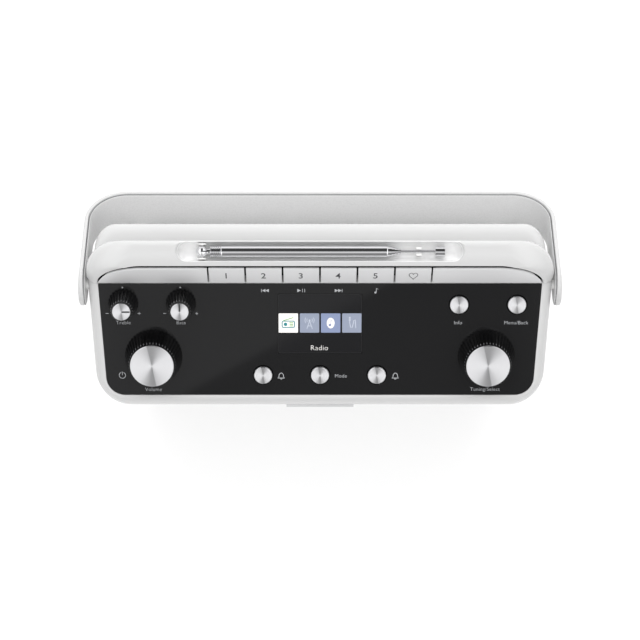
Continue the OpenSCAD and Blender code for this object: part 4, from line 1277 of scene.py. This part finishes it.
def paint_plain_nodes():
    """Gives each CAD node that is shown as it is its material."""
    for material, nodes in PLAIN.values():
        for node in nodes:
            mesh = frame["nodes"][node].data
            mesh.materials.clear()
            mesh.materials.append(paint(material))
            finish_mesh(mesh, 40)


# ---------------------------------------------------------------- floor, light and camera


def floor_sheet():
    """White backdrop: a very wide sheet under the radio that curves up far behind it."""
    x = np.linspace(-3000, 3000, 25)
    s = np.linspace(-3000, 5200, 60)
    bend_at, r = 2600, 900
    a = np.clip((s - bend_at) / r, 0, np.pi / 2)
    y = np.minimum(s, bend_at) + r * np.sin(a)
    z = r * (1 - np.cos(a)) + np.maximum(s - bend_at - r * np.pi / 2, 0)
    grid = np.stack(np.broadcast_arrays(x[None, :], y[:, None], z[:, None]), -1).astype(float)
    mesh = bpy.data.meshes.new("backdrop")
    mesh.from_pydata((grid.reshape(-1, 3) * MM).tolist(), [], grid_faces(len(s), len(x), wrap=False))
    return finish_mesh(mesh)


def soft_lamp(power):
    """Wide soft light behind and above the radio; polished pieces don't mirror it."""
    light = bpy.data.lights.new("soft_lamp", "AREA")
    light.shape, light.energy = "RECTANGLE", power
    light.size, light.size_y = LAMP_SIZE
    lamp = bpy.data.objects.new("soft_lamp", light)
    bpy.context.scene.collection.objects.link(lamp)
    way = np.array(LAMP_AIM) - np.array(LAMP_PLACE)
    lamp.location = LAMP_PLACE
    lamp.rotation_euler = (-math.acos(-way[2] / np.linalg.norm(way)), 0, 0)
    lamp.visible_glossy = False


def surround():
    """World light. A diffuse ray meets soft white, dimmer at the sides and brighter behind. Any other
    ray meets the room that the polished pieces mirror: white, with a long grey strip that is narrow
    ahead, wide over the top and dark behind the zenith, and is cut by a slanting edge ahead."""
    world = bpy.data.worlds.new("soft_room")
    bpy.context.scene.world = world
    world.use_nodes = True
    tree = world.node_tree
    where = add(tree, "ShaderNodeTexCoord").outputs["Generated"]
    parts = add(tree, "ShaderNodeSeparateXYZ", Vector=where)
    side = add(tree, "ShaderNodeMath", {"operation": "ABSOLUTE"}, [parts.outputs["X"]])
    slant = add(tree, "ShaderNodeVectorMath", {"operation": "DOT_PRODUCT"}, [where, CARD_EDGE])
    ray = add(tree, "ShaderNodeLightPath")
    across, depth, up = side.outputs["Value"], parts.outputs["Y"], parts.outputs["Z"]
    made = {"diffuse": ray.outputs["Is Diffuse Ray"]}
    # Smooth steps, from 0 at the first number to 1 at the second.
    for name, value, start, end in (
            ("past narrow", across, 0.08, 0.2), ("past wide", across, 0.26, 0.4),
            ("overhead", depth, -0.3, -0.1),
            ("past slant", slant.outputs["Value"], -0.0012, 0.0012), ("nearer", depth, -0.42, -0.25),
            ("past zenith", depth, -0.16, -0.06), ("far behind", depth, 0.84, 0.9), ("high", up, 0.1, 0.7),
            ("sideways", across, 0.2, 0.75), ("rearwards", depth, -0.7, 0.4)):
        made[name] = add(tree, "ShaderNodeMapRange", {"interpolation_type": "SMOOTHSTEP"}, Value=value,
                         From_Min=start, From_Max=end).outputs["Result"]
    # Blends: the first of two brightnesses where the step is 0, the second where it is 1.
    for name, step, low, high in (
            ("outside", "overhead", "past narrow", "past wide"), ("slanted", "past slant", 0.2, 0.4),
            ("ahead", "nearer", "slanted", 0.9), ("over", "past zenith", "ahead", 0.05),
            ("strip", "far behind", "over", 1.0), ("white", "high", 0.5, 1.15),
            ("mirrored", "outside", "strip", "white"), ("level", "rearwards", 1.02, 1.46),
            ("soft", "sideways", "level", 0.28), ("total", "diffuse", "mirrored", "soft")):
        made[name] = add(tree, "ShaderNodeMapRange", Value=made[step], To_Min=made.get(low, low),
                         To_Max=made.get(high, high)).outputs["Result"]
    room = bpy.context.scene.radio_stage.room
    fill(tree, tree.nodes["Background"], {"Color": made["total"], "Strength": room})


def stage():
    """Backdrop, world light, one big soft lamp behind and above, and the camera straight above the
    radio."""
    settings = bpy.context.scene.radio_stage
    mesh = floor_sheet()
    mesh.materials.append(backlit("white_acrylic_backlit", "#B8B8B8", settings.table))
    floor = bpy.data.objects.new("backdrop", mesh)
    bpy.context.scene.collection.objects.link(floor)
    surround()
    soft_lamp(settings.lamp)
    camera = bpy.data.cameras.new("camera")
    camera.lens, camera.sensor_width, camera.clip_end = settings.lens, 36.0, 50.0
    camera.dof.use_dof = False
    holder = bpy.data.objects.new("camera", camera)
    bpy.context.scene.collection.objects.link(holder)
    holder.location = CAMERA_PLACE
    bpy.context.scene.camera = holder
    bpy.context.scene.view_settings.view_transform = "Standard"


# ---------------------------------------------------------------- settings, operators and panel


def colour_setting(name, description, value):
    """A colour property with a linear default."""
    return bpy.props.FloatVectorProperty(name=name, description=description, subtype="COLOR", size=3,
                                         min=0, max=1, default=linear(value)[:3])


class RadioSizes(bpy.types.PropertyGroup):
    """Sizes of the small details."""

    label_height: FloatProperty(name="Label height", description="Height of the capitals on the panel",
                                unit="LENGTH", default=0.00215, min=0.001, max=0.006)
    numeral_height: FloatProperty(name="Numeral height", description="Height of the numerals on the keys",
                                  unit="LENGTH", default=0.0056, min=0.001, max=0.008)
    flutes: IntProperty(name="Flutes", description="Grooves round each big knob", default=46, min=12, max=120)


class RadioLooks(bpy.types.PropertyGroup):
    """Colours of the pieces."""

    shell: colour_setting("Shell", "Cabinet, rear shell and hood", "#CFCFCF")
    panel: colour_setting("Panel", "Control panel", "#151516")
    screen: colour_setting("Screen", "Screen glass", "#161618")
    key: colour_setting("Keys", "Preset keys and end plates", "#DCDCDD")
    knob: colour_setting("Knobs", "Fluted skirts of the knobs", "#0E0E0F")
    metal: colour_setting("Caps", "Spun caps and buttons", "#E2E2E4")
    grille: colour_setting("Grille", "Front speaker grille", "#CDCDCC")
    handle: colour_setting("Handle", "Outside of the handle", "#D2D2D2")
    lining: colour_setting("Lining", "Inside of the handle", "#E9E9E9")


class RadioStage(bpy.types.PropertyGroup):
    """Light and camera."""

    table: FloatProperty(name="Table light", description="Own light of the backlit table",
                         default=0.55, min=0, max=4)
    room: FloatProperty(name="Room light", description="Strength of the light from all round",
                        default=1.3, min=0, max=4)
    lamp: FloatProperty(name="Lamp", description="Power of the soft lamp in watts",
                        default=30.0, min=0, max=500)
    lens: FloatProperty(name="Lens", description="Focal length", unit="CAMERA",
                        default=129.4, min=20, max=300)


def operator(name, label, doc, work):
    """An operator class that runs one step; an error in the step stops the script."""

    def execute(self, context):
        work()
        return {"FINISHED"}
    return type("RADIO_OT_" + name, (bpy.types.Operator,),
                {"bl_idname": "radio." + name, "bl_label": label, "__doc__": doc,
                 "bl_options": {"REGISTER", "UNDO"}, "execute": execute})


STEPS = [
    operator("shells", "Shells", "Builds the cabinet, rear shell and hood", shells),
    operator("keys", "Keys", "Builds the preset keys and end plates", keys),
    operator("knobs", "Knobs", "Builds the four knobs", knobs),
    operator("buttons", "Buttons", "Builds the five round buttons", buttons),
    operator("screen", "Screen", "Builds the screen and its signs", screen),
    operator("labels", "Labels", "Prints the panel's names and icons", labels),
    operator("handle", "Handle", "Builds the carrying handle", handle),
    operator("antenna", "Antenna", "Builds the antenna's outer tube", antenna),
    operator("plain", "Other parts", "Paints the parts that keep their CAD shape", paint_plain_nodes),
    operator("stage", "Stage", "Sets up the backdrop, light and camera", stage),
]


class RADIO_PT_panel(bpy.types.Panel):
    """Sidebar panel with the settings and one button per step."""

    bl_idname = "RADIO_PT_panel"
    bl_label = "Tabletop radio"
    bl_space_type = "VIEW_3D"
    bl_region_type = "UI"
    bl_category = "Radio"

    def draw(self, context):
        for group in (context.scene.radio_sizes, context.scene.radio_looks, context.scene.radio_stage):
            box = self.layout.box()
            for key in group.bl_rna.properties.keys():
                if key not in ("rna_type", "name"):
                    box.prop(group, key)
        for step in STEPS:
            self.layout.operator(step.bl_idname)


CLASSES = [RadioSizes, RadioLooks, RadioStage, *STEPS, RADIO_PT_panel]


def register():
    """Registers the classes and hangs the settings on the scene."""
    for this in CLASSES:
        bpy.utils.register_class(this)
    bpy.types.Scene.radio_sizes = PointerProperty(type=RadioSizes)
    bpy.types.Scene.radio_looks = PointerProperty(type=RadioLooks)
    bpy.types.Scene.radio_stage = PointerProperty(type=RadioStage)


def unregister():
    """Takes the settings off the scene and unregisters the classes."""
    del bpy.types.Scene.radio_sizes, bpy.types.Scene.radio_looks, bpy.types.Scene.radio_stage
    for this in reversed(CLASSES):
        bpy.utils.unregister_class(this)


def main():
    """Runs every step in order and writes the model's size before and after."""
    register()
    for step in STEPS:
        group, name = step.bl_idname.split(".")
        getattr(getattr(bpy.ops, group), name)()


if __name__ == "__main__":
    main()
